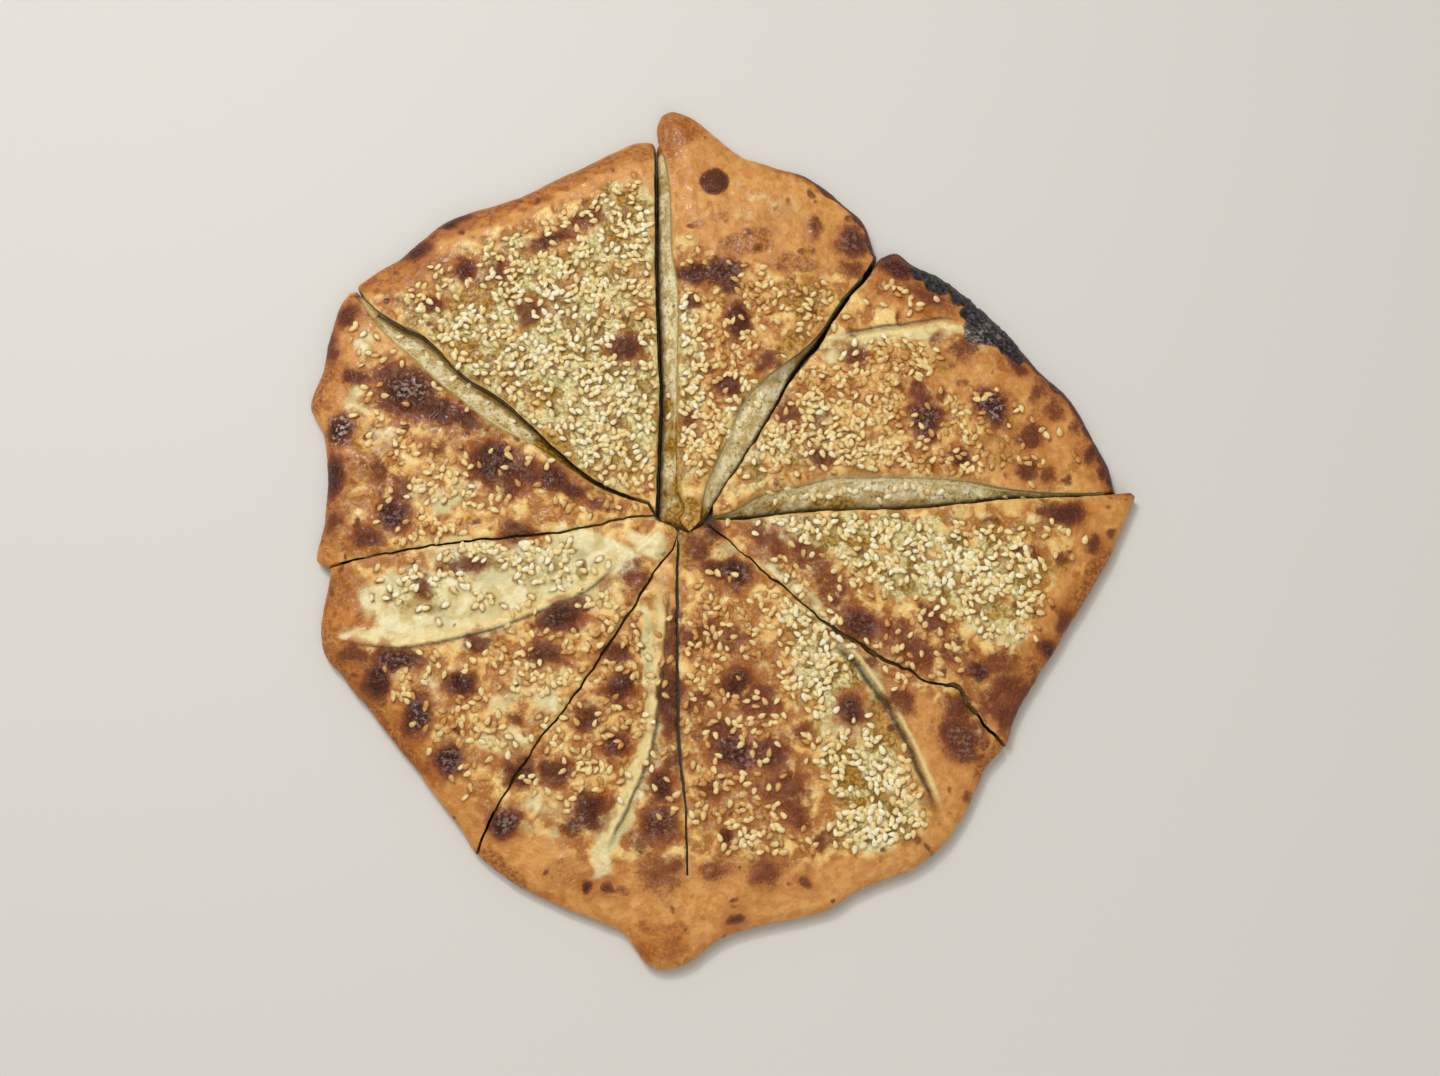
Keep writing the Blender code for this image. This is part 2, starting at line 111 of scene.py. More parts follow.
# Cuts whose steep walls get painted shade, so that they look like dark lines, and the same for cut b from
# one of its points on
SHADED_WALL_CUTS = ("d", "f", "h", "j")
SHADED_WALL_FROM_POINT = {"b": 3}
WALL_SHADE_REACH = (2, 4)

# How far the painted shade at the foot of a sloped face reaches from the middle of its cut
GAP_SHADES = (("a", 0.2), ("b", 0.8), ("c", 1.5))

# Spacing of the meshes
EDGE_STEP = 0.7
WALL_STEP = 0.6
TOP_STEP = 0.62
UNDER_STEP = 6.0
COARSE_STEP = 3.0
CUT_MAP_STEP = 4
OUTLINE_STEP = 6.5
LAYER_STEP = 9.0
LAYER_SLACK = 0.4
MOST_WALL_ROWS = 44
FEWEST_WALL_ROWS = 14
PLACE_JITTER = 0.18
PLACE_CLEAR = 0.6
CORNER_REACH = 6.0
CLEAR_OF_CUT = 0.7
SHARP_ANGLE = math.radians(62)

# The rim of hand-shaped dough: the reach, size and number of each noise that makes it uneven, and how
# far from a piece's corners that starts
RIM_UNEVEN = ((0.35, 9, 101), (0.12, 2.5, 102))
CRAG_SIZE = 2.6
UNEVEN_FROM_CORNER = (0, 8)

# Crust edges inside the pieces
FLAP_ENDS = 8.0
FLAP_FACE = 0.8
FLAP_LIP = 0.2
FLAP_WARP = 0.3
FLAP_ROOM = 4
RIDGE = (-0.7, 0.8)

# Relief of the top: its broad swell, domes, lumps, wrinkles and the edge beside a cut
SWELL = 0.25
SWELL_X = 17
SWELL_Y = 14
BLISTER_ROUNDNESS = 1.2
BLISTER_ROOM = 4
PUFFS = 700
PUFF_SIZES = (0.8, 2.6)
PUFF_ROUNDNESS = 1.3
PUFF_ROOM = 3
FRECKLES = 900
FRECKLE_SIZES = (0.5, 1.9)
FLATTEST_SPOT = 0.6
LUMPS_FROM_RIM = (1.5, 6)
LUMP_RISE = 0.34
LUMP_LESS = 0.2
BUMP_RISE = 0.2
BUMP_NOISES = ((8.0, 71), (3.2, 74))
WRINKLE_SIZE = 1.7
WRINKLE_RISE = 0.4
CHAR_RISE = 0.3
CUT_EDGE_DROP = 0.45
CUT_EDGE_WIDTH = 1.1

# How far the halo of a dark spot reaches past it, and the sizes of the burnt places on the rim
HALO = 3.6
BURN_SIZE = 10
SPOT_ROOM = 3

# Where a crust's cut wall, foot (browner, with painted shade), underside and cut edge begin and end
WALL_FROM_RIM = (3.2, 4.5)
WALL_BELOW_TOP = (0.35, 0.9)
WALL_FACING = (0.2, 0.5)
FOOT_TOAST_AND_SHADE_HEIGHTS = (0.3, 3.8)
UNDER_HEIGHTS = (0.05, 0.4)
UNDER_FACING = (0.5, 0.9)
GAP_BELOW_TOP = (2.5, 5)
CUT_EDGE_REACH = (0.2, 1.3)
LIP_SHADE_FROM = (0.1, 0.4)
LIP_SHADE_TO = (1.0, 1.7)

# The filling: where it is free to be lumpy, and how high the painted shade at the foot of a gap reaches on it
FILLING_FREE_LEVEL = (0.05, 0.8)
FILLING_FREE_FACING = (0.15, 0.5)
FILLING_LEAN = (0.25, 0.6)
FILLING_GAP_HEIGHTS = (4.5, 6)

# Sesame seeds
SEED_LENGTH = 3.25
SEED_WIDTH = 1.85
SEED_HEIGHT = 0.95
SEED_TAPER = 0.42
SEED_TILT = 0.26
SEED_SIZE_SPREAD = 0.09
SEED_LIFT = (-0.15, 0.2)
SEED_RAISED = 0.2
SEED_LEAST_UP = 0.4
SEED_SIDES = 8
SEED_RINGS = 4
SEED_TRIES = 90000
MOST_SEEDS = 0.42
CLOSEST_SEEDS = 1.25
CLOSEST_SPREAD = (0.8, 1.35)
SEED_CELL = 3
SEEDS_FROM_RIM = (4.5, 9)
SEEDS_FROM_CUT = 0.9
GLAZE_RISE = 0.28
GLAZE_REACH = 3.4

# The map of the pie's top, on which heights and colours are laid out
CELL = 0.3
MAP_X = np.arange(-142, 142, CELL)
MAP_Y = np.arange(-151, 151, CELL)
GRID_X, GRID_Y = np.meshgrid(MAP_X, MAP_Y)
HALF_X = 140
HALF_Y = 148
RIM_REACH = 60
CUT_REACH = 6
WARP_SIZES = ((9.0, 1.6), (3.5, 0.8))
NOISE_TABLE = 64
NOISE_GAIN = 1.6

# Camera, floor and lights: the lights' places in metres, their sizes and their watts
TARGET = Vector((-0.5, -6, 0))
CAMERA_AWAY = 667.0
ELEVATION = math.radians(76)
LENS = 50.0
SENSOR = 36.0
FLOOR_SIZE = 6
FLOOR_Z = -0.0004
WORLD_COLOUR = (1.0, 0.97, 0.9, 1)
WORLD_STRENGTH = 0.38
LIGHTS = (
    ("window_light", (-0.45, 0.55, 1.25), 0.8, 8.2),
    ("sparkle_light", (-0.4, 0.7, 1.15), 0.12, 3.5),
    ("fill_light", (0.3, -0.9, 1.0), 1.0, 3.0),
)

# Knife cuts from the middle outwards: x, y and the width of the gap
CUTS = {
    "a": [
        (-21.5, 1, 0.9), (-21, 18, 0.9), (-20.5, 41, 0.9), (-22, 75, 0.9), (-22.6, 112, 1),
        (-22.8, 134.5, 1.6),
    ],
    "b": [
        (-3, 3, 0.6), (2, 11, 0.6), (9, 22, 0.6), (18, 37, 0.8), (23, 47, 1.6), (29, 56, 3.6), (34, 62, 2.2),
        (42, 75, 1.8), (50, 85, 1.8), (54, 93, 2.4),
    ],
    "c": [
        (-3, -1.8, 0.7), (9, -1.5, 0.8), (28, 1, 1), (66, 2.5, 1.2), (93, 5, 0.8), (119, 6.5, 0.7),
        (132, 8.2, 0.8),
    ],
    "d": [
        (-5, -3.5, 0.6), (3, -10, 0.6), (17, -22, 0.7), (33, -36, 0.8), (47, -45, 1.4), (61, -53, 1.2),
        (69, -57, 0.9), (76, -57.5, 1.6), (80, -64, 1.4), (86, -71, 1), (91.5, -76.5, 1.2),
    ],
    "e": [
        (-24, 4, 0.7), (-40, 10, 0.8), (-53, 20, 0.8), (-74, 39.5, 1), (-87, 48, 1), (-100, 61, 1.2),
        (-111, 67, 1.2), (-118, 72, 1.4), (-125, 81, 1.4),
    ],
    "f": [
        (-22.5, -0.5, 0.7), (-30, -1, 0.8), (-53, -6, 0.8), (-81, -9, 0.8), (-99, -11.5, 0.8),
        (-114, -14, 0.8), (-130, -17.3, 1),
    ],
    "h": [
        (-16, -12, 0.6), (-21.5, -19, 0.8), (-35, -41.5, 0.8), (-49, -63, 0.7), (-59, -76, 0.7),
        (-74, -101, 0.8), (-78, -111, 1),
    ],
    "j": [
        (-14.2, -8.5, 0.8), (-14.4, -23, 1), (-14.3, -49, 1), (-13.5, -78, 1.1), (-11.5, -96, 0.8),
        (-10.8, -118, 0.6),
    ],
}

# Where a cut face slopes, its crust ends further in, along this line
LIPS = {
    "a": [
        (-13, -1.5), (-11.5, 2), (-14.2, 9), (-14.5, 43), (-14.2, 79), (-16.5, 93), (-17.3, 112), (-19, 126),
        (-21.6, 134),
    ],
    "b": [
        (-7, 0.5), (-5.5, 9), (-2, 18), (2, 27), (5, 35), (9, 42), (18, 50), (26, 56), (33, 63), (41, 75.5),
        (49, 85.6), (52.8, 93),
    ],
    "c": [
        (-2.8, -1), (3.5, 1), (13.5, 7), (25.5, 10), (37.5, 13), (60, 13.3), (79.5, 12), (93, 9),
        (105.5, 7.5), (119, 7.4), (130, 8.6),
    ],
    "e": [
        (-24.5, 3.2), (-40, 8.8), (-60, 22), (-77, 31), (-87, 39), (-97, 47), (-104, 54), (-111, 60),
        (-118, 68), (-125, 78.5),
    ],
}

# The outer edge of each piece, clockwise
RIMS = {
    "north_west": [
        (-124.5, 82), (-118, 87), (-110, 92), (-98, 103.5), (-87, 109), (-69, 115), (-56, 122), (-42, 129),
        (-30, 135), (-23.8, 135),
    ],
    "north": [
        (-21.8, 134), (-22.5, 140), (-21, 145), (-17, 147), (-9, 143.5), (7, 130), (18, 126), (30, 122),
        (42, 112), (49, 105), (52.5, 94),
    ],
    "north_east": [
        (55.2, 92.5), (60, 94), (66, 89.5), (75, 85), (86, 76), (97, 65), (107, 52), (117, 42), (124, 29),
        (129.5, 16), (131, 9),
    ],
    "east": [(138.5, 8.4), (134, -2), (126, -18), (114, -37), (103, -54), (96, -65), (92.5, -75.5)],
    "south": [
        (90.5, -77.5), (85, -84), (78, -98), (69, -110), (60, -116), (44, -122), (32, -129), (12, -133.5),
        (0, -137), (-9, -144), (-17, -147), (-24, -145), (-32, -135), (-50, -128), (-66, -120), (-77, -112),
    ],
    "south_west": [
        (-79, -110), (-86, -100), (-97, -86), (-110, -70), (-124, -53), (-130.5, -45), (-131, -33),
        (-129, -18),
    ],
    "west": [
        (-132, -16.5), (-134, -14), (-132, -2), (-131.5, 14), (-134, 29), (-138.5, 39), (-135, 51),
        (-133.5, 62), (-130, 75), (-126, 81),
    ],
}

# Piece: the cut and side that it starts from, the cut and side that it ends at, and its inner tip,
# whose points may lean to the right by a third number
PIECES = {
    "north_west": (("e", "right"), ("a", "left"), []),
    "north": (("a", "right"), ("b", "left"), [(-7, -2.5), (-10.5, -6), (-15, -3.5, 2), (-20.3, -1.2, 7)]),
    "north_east": (("b", "right"), ("c", "left"), []),
    "east": (("c", "right"), ("d", "left"), []),
    "south": (("d", "right"), ("h", "left"), [(-13.8, -5.6), (-11, -6.8)]),
    "south_west": (
        ("h", "right"), ("f", "left"), [(-21.4, -2.2), (-15.7, -4.7), (-14.5, -6.4), (-14.9, -8.1)],
    ),
    "west": (("f", "right"), ("e", "left"), []),
}
SLOPED_FACES = {
    ("a", "right"): ("a", BULGING),
    ("b", "left"): ("b", SHELVING),
    ("c", "left"): ("c", BULGING),
    ("e", "left"): ("e", BULGING),
}

# Crust edges inside the pieces, which lie lower on the right: the line, its drop, how far that fades, and
# how far to the right its pale lip and its dark crease, partly painted shadow, lie, each with a width
FLAPS = [
    ([(38, 61), (46.5, 63.5), (60, 65.5), (73.5, 68), (82, 67)], 1.3, 16, (1.5, 1.5), (-0.6, 0.5)),
    (
        [(35, -40.5), (44, -48.5), (50, -57), (56, -66), (59.5, -72.5), (63, -80), (66, -87), (70, -98)],
        1.5, 26, (-0.5, 0.8), (1.6, 1.1),
    ),
    (
        [(-18, -24), (-18.7, -49), (-20.5, -65), (-22.7, -78), (-29.5, -95), (-36.5, -110)],
        1.4, 9, (2.0, 1.8), (-0.4, 0.6),
    ),
    (
        [(-33.5, -16), (-45.5, -26), (-58.5, -32), (-81.5, -40), (-95.5, -43), (-110, -44), (-122, -42)],
        1.5, 30, (1.8, 1.8), (-0.8, 0.5),
    ),
]

# Blisters of the top crust: x, y, half length, half width and height
BLISTERS = [
    (-2, 118, 5, 5, 1.3), (-3, 84, 9, 4.3, 0.9), (6, 66, 4, 5, 0.9), (44, 96, 5, 5, 0.8), (11, 96, 6, 5, 0.6),
    (31, 101, 3.5, 3.5, 0.5), (88, 61, 7, 7, 1.0), (91, 36, 4.7, 6.7, 0.9), (68, 33, 4.7, 6.7, 0.9),
    (79, 21, 4, 4, 0.6), (104, 25, 5, 4, 0.7), (112, -3, 9, 4, 0.8), (82, -52, 4.5, 4.5, 1.0),
    (107, -36, 5, 5, 0.6), (42, -36, 4, 4, 0.8), (66, -39, 7, 8, 0.9), (78, -75, 5, 6, 0.9),
    (42, -65, 4, 5, 0.8), (23, -94, 5, 6, 0.8), (4, -78, 7, 5, 0.9), (5, -23, 4.5, 4.5, 1.0),
    (-7.5, -42, 4, 4.5, 0.9), (7, -56, 4.5, 4.5, 0.8), (13, -119, 5, 4, 0.6), (-20, -101, 5, 4.5, 0.7),
    (-18, -126, 8, 6, 0.6), (-33, -80, 4, 4, 0.8), (-43, -98, 4, 5.3, 0.9), (-32, -58, 4.5, 4.5, 0.9),
    (-54, -85, 4, 3.5, 0.8), (-83, -57, 4.5, 4.5, 1.0), (-98, -67, 4.5, 6, 1.1), (-112, -57, 5, 4, 0.9),
    (-104, -50, 6, 3.2, 0.7), (-88, -81, 4.5, 4.5, 0.9), (-52, -38, 5, 4, 0.8), (-62, -50, 4, 4, 0.7),
    (-96, -25, 3.5, 3.5, 0.5), (-104, 42, 8.5, 6.7, 1.3), (-80, 24, 5, 4, 0.8), (-74, 14, 7, 5.5, 1.1),
    (-53, 8, 5.5, 4.5, 0.8), (-106, -2, 5, 5, 1.0), (-120, 14, 4, 5, 0.7), (-124, 29, 4.5, 4.5, 0.8),
    (-88, 86, 4, 4, 0.6), (-98, 73, 3.6, 3.6, 0.6), (-32, 57, 4.5, 4.5, 0.7), (-55, 97, 5.5, 4, 0.6),
    (-63, 68, 4, 4, 0.5),
]

# Browning, as soft spots: x, y, half length, half width, turn in degrees if any, and strength
BLACK_SPOTS = [
    (68, 85, 4, 2.2, -35, 1), (74, 81, 5, 2.8, -32, 1), (81, 76.5, 4.5, 3, -35, 1),
    (86, 70, 4.5, 4, -45, 1), (91, 64, 7, 6, -48, 1), (96, 60, 5, 4.5, -48, 1), (99, 56, 3, 2, -48, 0.9),
    (84, 64, 3, 4, 0.7),
]
DARK_SPOTS = [
    (-9, 84.5, 6, 3, -5, 0.95), (0, 85, 6, 4.6, 10, 1), (3, 80, 3, 3, 0.8), (-10, 74, 4, 3, 0.7),
    (6, 67, 4.5, 6, 10, 0.95), (-5, 50, 4, 3, 0.5), (2, 44, 4, 4, 0.8), (14, 53, 5, 3, 30, 0.55),
    (-10, 32, 3, 3, 0.6), (45, 97, 4.5, 5, 20, 0.85), (31, 102, 2.5, 4, 0.6), (44, 87, 5, 4, 0.5),
    (60, 88, 6.5, 4, -22, 1), (70, 77, 7, 3, -32, 0.55), (82, 58, 5, 4, 0.6), (68, 33, 5, 7, 10, 0.9),
    (67, 41, 3, 3, 0.6), (90, 37, 5, 6.5, 5, 1), (103, 26, 5, 4, 20, 0.7), (79, 19, 3.5, 3, 0.85),
    (101, 14, 3, 3, 0.7), (108, 13, 3, 2.5, 0.6), (45, 55, 4, 4, 0.6), (22, 35, 4, 5, 0.55),
    (34, 34, 4, 4, 0.4), (33, 19, 4, 3, 0.7), (72, 62, 2.5, 2, 0.5), (100, 52, 5, 2, -40, 0.7),
    (107, 44, 2.4, 6, -40, 0.5), (112, 37, 4, 3.4, -30, 0.5), (124, 22, 1.8, 5, -20, 0.8),
    (127, 15, 1.6, 4, -12, 0.8), (119, 31, 2, 4, -30, 0.4), (114, 0, 7, 4, -8, 0.85), (107, 1, 3, 3, 0.6),
    (96, -14, 2.5, 2.5, 0.5), (102, -13, 2.4, 3, 0.5), (111, -15, 3, 3, 0.6), (123, -10, 3, 2.5, 0.7),
    (88, -3, 4, 2, 0.35), (15, -9, 8, 3.6, -40, 0.5), (28, -15, 8, 5, -40, 0.5),
    (36, -25, 8, 5.4, -48, 0.5), (45, -37, 6.4, 5, -30, 0.85), (55, -39, 7, 5, -20, 0.45),
    (62, -46, 8, 6, -30, 0.55), (69, -36, 4, 5, 0.65), (75, -46, 6, 5, 0.45), (83, -52, 4, 4, 0.95),
    (90, -50, 6, 4, 0.5), (95, -58, 7, 6, -40, 0.6), (88, -63, 6, 5, 0.5), (93, -67, 4, 5, -30, 0.65),
    (106, -45, 3.5, 3, 0.95), (112, -35, 2.6, 4, -30, 0.6), (-3, -5, 3.4, 4, 0.85),
    (-11, -10, 2.4, 4, 0.45), (5, -20, 5.6, 5, 1), (-2, -19, 4, 4, 0.8), (-6, -12, 3, 4, 0.6),
    (-5, -40, 5, 5, 0.6), (2, -42, 6, 4, 0.5), (-11, -42, 2.4, 5, 0.6), (5, -57, 5, 5, 0.9),
    (12, -62, 6, 5, 0.6), (-8, -62, 4, 4, 0.5), (0, -72, 6, 5, 0.6), (4, -79, 7, 5, 1),
    (15, -80, 6, 5, 0.7), (20, -91, 7, 7, 0.55), (24, -99, 4, 4, 0.55), (-3, -90, 5, 4, 0.5),
    (1, -106, 3, 3, 0.85), (-2, -117, 5, 3, 0.45), (14, -118, 5, 4, 0.5), (27, -120, 1.6, 1.6, 0.6),
    (5, -132, 2, 1.5, 0.8), (32, -107, 4, 4, 0.5), (42, -65, 4, 5, 10, 0.95), (26, -72, 4, 3, 0.5),
    (58, -62, 5, 4, 0.6), (77, -74, 6.4, 8, 20, 0.75), (76, -64, 4, 5, 0.7), (79, -92, 2, 2, 0.5),
    (-16.5, -62, 3.4, 12, 0.8), (-15.5, -42, 2.2, 9, 0.6), (-16, -83, 3, 6, 0.5), (-19, -89, 4, 5, 0.9),
    (-20, -102, 6, 5, 0.8), (-25, -107, 5, 4, 0.5), (-18, -117, 7, 5, 0.42), (-33, -58, 5, 4.5, 0.9),
    (-34, -47, 5, 4, 0.7), (-43, -68, 4, 5, 0.75), (-34, -77, 4.5, 4, 0.8), (-28, -22, 5, 5, 0.5),
    (-53, -86, 7, 4, 0.75), (-42, -98, 5, 6, 0.9), (-48, -103, 4, 3, 0.8), (-65, -85, 5, 5, 0.8),
    (-70, -101, 5, 4.5, 1), (-42, -121, 1.6, 1.5, 0.9), (-35, -122, 2, 1.8, 0.7), (-97, -24, 3, 4, 0.6),
    (-84, -17, 7, 2.5, 0.6), (-105, -49, 8, 4, 1), (-112, -55, 5, 5, 1), (-120, -47, 6, 3, -20, 0.6),
    (-85, -57, 5, 4.5, 1), (-98, -67, 5, 7, -10, 1), (-88, -81, 5, 4.5, 1), (-79, -43, 5, 2.4, 10, 0.7),
    (-52, -35, 8, 4, 25, 0.95), (-46, -31, 4, 3, 0.6), (-58, -47, 6, 4, 0.8), (-66, -68, 3, 2.5, 0.5),
    (-105, 93, 5, 3.4, 40, 0.9), (-92, 104, 7, 1.8, 28, 0.9), (-87, 86, 4, 3.5, 0.9), (-76, 86, 3, 5, 0.6),
    (-98, 73, 3.5, 3, 0.75), (-107, 76, 5, 3, 0.35), (-113, 74, 1, 1, 0.8), (-58, 97, 8, 2.8, 25, 0.8),
    (-47, 104, 9, 2.4, 25, 0.5), (-65, 70, 5, 4, 0.65), (-32, 58, 5.4, 4.3, 10, 0.8),
    (-105, 42, 10, 7.6, -15, 1), (-95, 36, 8, 4, -25, 0.85), (-112, 48, 6, 4, 0.6),
    (-86, 33, 6, 3, -25, 0.8), (-75, 17, 9, 7, -10, 1), (-66, 14, 6, 5, 0.75), (-70, 9, 4, 3, 0.6),
    (-56, 12, 6, 4, -20, 0.9), (-50, 8, 5, 3, -20, 0.8), (-123, 47, 4.4, 3, 0.75), (-127, 29, 4.4, 4.6, 1),
    (-129, 14, 3, 7, 0.95), (-114, 15, 3.6, 5, 0.6), (-108, 0, 5, 6, 1), (-106, 8, 3, 4, 0.6),
    (-117, -8, 5, 4, 0.75), (-128, -3, 3, 4, 0.6), (-132, 60, 2, 7, 0.7), (-127, 70, 4, 4, 0.75),
    (-67, -6, 5, 2.6, -8, 0.75), (-95, 22, 4, 3, 0.4), (-40, 3, 5, 2, -10, 0.5),
]
STAINS = [
    (110, 40, 3, 14, -40, 0.6), (121, 24, 3, 12, -22, 0.6), (0, 105, 5, 2.4, 0.6), (8, 95, 9, 3.4, 1),
    (12, 99, 5, 3, 0.85), (25, 88, 7, 3.4, 0.9), (10, 97, 4, 2, 1), (32, 95, 2.4, 5, 0.5),
    (38, 100, 3, 4, 0.45), (18, 106, 9, 4, 0.4), (-8, 103, 3, 3, 0.6), (2, 109, 8, 2.4, 0.35),
    (-15, 138, 8, 7, -35, 0.55), (-17, 130, 4, 12, 0.4), (-50, 122, 26, 3, 25, 0.5),
    (-28, 130, 6, 5, 20, 0.6), (-8, 92, 1, 2.2, -10, 0.9), (55, 78, 9, 4, 0.45),
    (70, 76, 11, 3.4, -32, 0.65), (60, 20, 5.4, 5, 0.75), (64, 47, 5, 7, 0.5), (96, 52, 7, 3, -30, 0.6),
    (64, -3, 4, 4, 0.35), (-125, -25, 6, 8, 0.5), (-118, -30, 5, 6, 0.3), (-50, -117, 7, 5, 20, 0.5),
    (-18, -140, 8, 5, 0.45), (-20, -126, 6, 4, 0.3), (-20, -118, 9, 8, 0.7), (14, -117, 8, 5, 0.7),
    (-1, -115, 6, 4, 0.6), (-95, 87, 8, 5, 0.4), (-38, -23, 6, 4, 0.45), (-80, -92, 5, 4, 0.35),
    (12, -8, 12, 6, -30, 0.5), (0, -30, 8, 8, 0.3), (10, -48, 12, 10, 0.5), (5, -70, 16, 12, 0.55),
    (12, -92, 16, 14, 0.6), (-3, -100, 8, 10, 0.4), (50, -45, 20, 8, -38, 0.6), (92, -57, 14, 11, -35, 0.5),
    (66, -66, 8, 6, 0.3), (-112, 22, 8, 8, 0.3), (-122, 8, 7, 14, 0.4), (-118, -8, 10, 8, 0.4),
    (-85, 28, 22, 7, -20, 0.5), (-60, 12, 16, 6, -15, 0.4), (-108, 45, 16, 11, 0.4),
    (-20, -95, 9, 16, 0.45), (-16, -70, 4, 20, 0.4), (115, -28, 2.6, 5, -30, 0.5), (100, -52, 5, 4, 0.5),
    (-132, -40, 2, 6, 0.5), (44, 90, 6, 10, 25, 0.4), (-100, 60, 8, 3, -40, 0.3),
]

# A smooth blister, which is rounder than the spots: x, y, radius and strength
ROUND_SPOTS = [(-2.5, 118.5, 5, 0.82)]

# Where the outer edge is burnt, as places on it
RIM_BURNS = [
    (-98, 102), (-108, 93), (-84, 109), (60, 93), (75, 85), (86, 76), (97, 65), (107, 52), (115, 43),
    (121, 36), (127, 22), (129, 14), (124, -20), (117, -32), (110, -43), (103, -54), (97, -64), (-133, 12),
    (-134, 0), (-136, 46), (-134, 60), (-130, -48), (-118, -60), (-104, -76), (-70, -116), (88, -80),
]

# Patches that are browner all over, as the spots
TOASTED_PATCHES = [
    (30, -24, 32, 10, -44, 0.9), (62, -44, 22, 10, -30, 0.8), (0, -50, 14, 34, 0.7), (10, -88, 20, 24, 0.8),
    (98, -56, 12, 18, -32, 0.8), (-18, -90, 9, 28, 0.4), (-40, -72, 12, 22, -20, 0.15),
    (-90, -62, 30, 16, -38, 0.2), (-120, 10, 14, 30, 0.4), (-85, 20, 36, 14, -18, 0.35),
    (-110, 48, 16, 16, 0.6), (100, 30, 22, 24, -30, 0.25), (60, 40, 26, 18, 0.3), (68, 78, 18, 7, -32, 0.7),
    (0, 72, 18, 16, 0.6), (30, 85, 20, 8, -30, 0.4), (-92, 84, 18, 9, 30, 0.6), (-52, 100, 18, 6, 25, 0.5),
    (112, -8, 14, 14, 0.5), (8, 48, 14, 14, 0.4), (-125, 55, 9, 18, 0.5), (-45, -30, 18, 10, -25, 0.35),
    (-65, -90, 16, 14, -30, 0.15),
]

# Patches of colour, as the spots
ORANGE_PATCHES = [
    (12, 112, 46, 24, -20, 1), (-20, 138, 12, 12, 1), (-62, 117, 54, 8, 25, 0.9),
    (-104, 94, 20, 8, 38, 0.9), (-128, 55, 7, 24, 0.6), (110, 32, 16, 34, -30, 0.8), (128, 0, 16, 14, 1),
    (116, -30, 9, 26, -30, 0.9), (72, -82, 9, 22, 22, 1), (0, -128, 80, 14, 1),
    (-60, -114, 30, 9, -25, 0.9), (-108, -68, 34, 6, -48, 0.6), (66, 76, 24, 9, -25, 0.8),
    (-124, -34, 8, 14, 0.8), (90, 48, 18, 12, 0.6), (60, -62, 6, 12, 30, 0.8), (-17, -45, 3, 30, 0.6),
    (74, 50, 12, 12, 0.5), (-113, 60, 12, 5, -45, 0.5), (-40, 121, 30, 8, 22, 0.5),
]
PALE_PATCHES = [
    (-92, -30, 25, 11, -4, 1.25), (-66, -20, 30, 10, -14, 1.2), (-42, -13, 15, 7, -18, 1.2),
    (-24, -10, 7, 5, -30, 0.9), (-104, -40.5, 24, 2.6, 1.3), (-22.5, -60, 2, 26, 4, 1.3),
    (-27, -88, 3, 12, -24, 1.3), (-34, -102, 4.5, 9, -30, 1.2), (-38, -114, 4, 6, 0.7),
    (-56, -98, 14, 10, -20, 0.5), (-62, -62, 16, 10, -20, 0.5), (-92, -54, 10, 6, 0.5),
    (-70, -76, 12, 8, 0.5), (60, 63, 22, 2.4, 5, 1.3), (42, 57, 8, 3, 20, 0.8), (30, -4, 22, 4, -4, 0.9),
    (18, -7, 8, 4, 1), (52, -6, 5, 4.5, 1), (20, -21, 12, 1.8, -46, 1.2), (31, -33, 9, 1.8, -48, 1.2),
    (50, -102, 16, 8, 18, 0.8), (52, -88, 6, 8, 0.8), (32, -52, 9, 12, -30, 0.8), (28, -36, 9, 8, 0.8),
    (44, -48, 4, 12, 42, 0.9), (40, -76, 8, 12, 20, 0.6), (88, -20, 14, 10, 0.7), (66, -20, 16, 10, 0.7),
    (90, -38, 12, 6, -20, 0.8), (-45, 40, 14, 12, 0.6), (-60, 62, 16, 14, 0.5), (-42, 97, 10, 8, 0.5),
    (-72, 93, 12, 4, 25, 0.5), (-26, 102, 2.4, 16, 0.9), (-12, 58, 6, 26, 0.5), (10, 30, 12, 12, 0.3),
    (-122, 61, 5, 7, 0.8), (-122, 38, 5, 6, 0.7), (-92, 8, 14, 8, 0.6), (-113, 26, 6, 5, 0.6),
    (10, -106, 10, 5, 0.5), (12, 112, 26, 10, -20, 0.35), (104, 42, 8, 8, 0.3), (-58, -52, 10, 5, 0.4),
    (2, -12, 4, 3, 0.7),
]
GREEN_PATCHES = [
    (-60, 62, 38, 34, 1.1), (-36, 36, 22, 26, -30, 1.1), (-30, 110, 9, 12, 0.6), (-80, 88, 16, 9, 30, 0.8),
    (-36, 92, 14, 26, 0.9), (-95, 66, 20, 7, -38, 0.8), (-12, 42, 8, 34, 0.8), (8, 34, 9, 16, 20, 0.6),
    (35, 26, 24, 16, -5, 0.6), (12, 16, 12, 12, 0.6), (86, -22, 22, 16, 0.85), (64, -14, 16, 10, 0.75),
    (42, -8, 26, 7, -3, 0.9), (58, -14, 30, 13, -8, 0.9), (84, -4, 26, 6, 3, 0.7),
    (38, -58, 15, 26, 22, 0.8), (46, -86, 13, 17, 15, 0.95), (52, -101, 15, 9, 18, 0.9),
    (28, -38, 10, 10, 0.6), (-60, -18, 28, 9, -12, 0.5), (-94, -28, 22, 10, 0.45), (-30, -13, 10, 6, 0.4),
    (-22.5, -60, 2, 26, 4, 0.6), (55, -109, 16, 2.4, 8, 0.6), (-3, 12, 6, 10, 0.6), (45, 60, 14, 3, 8, 0.5),
    (-8, 25, 6, 16, 0.4), (-60, -78, 10, 8, 0.25), (-98, -44, 20, 2, 0.4),
]
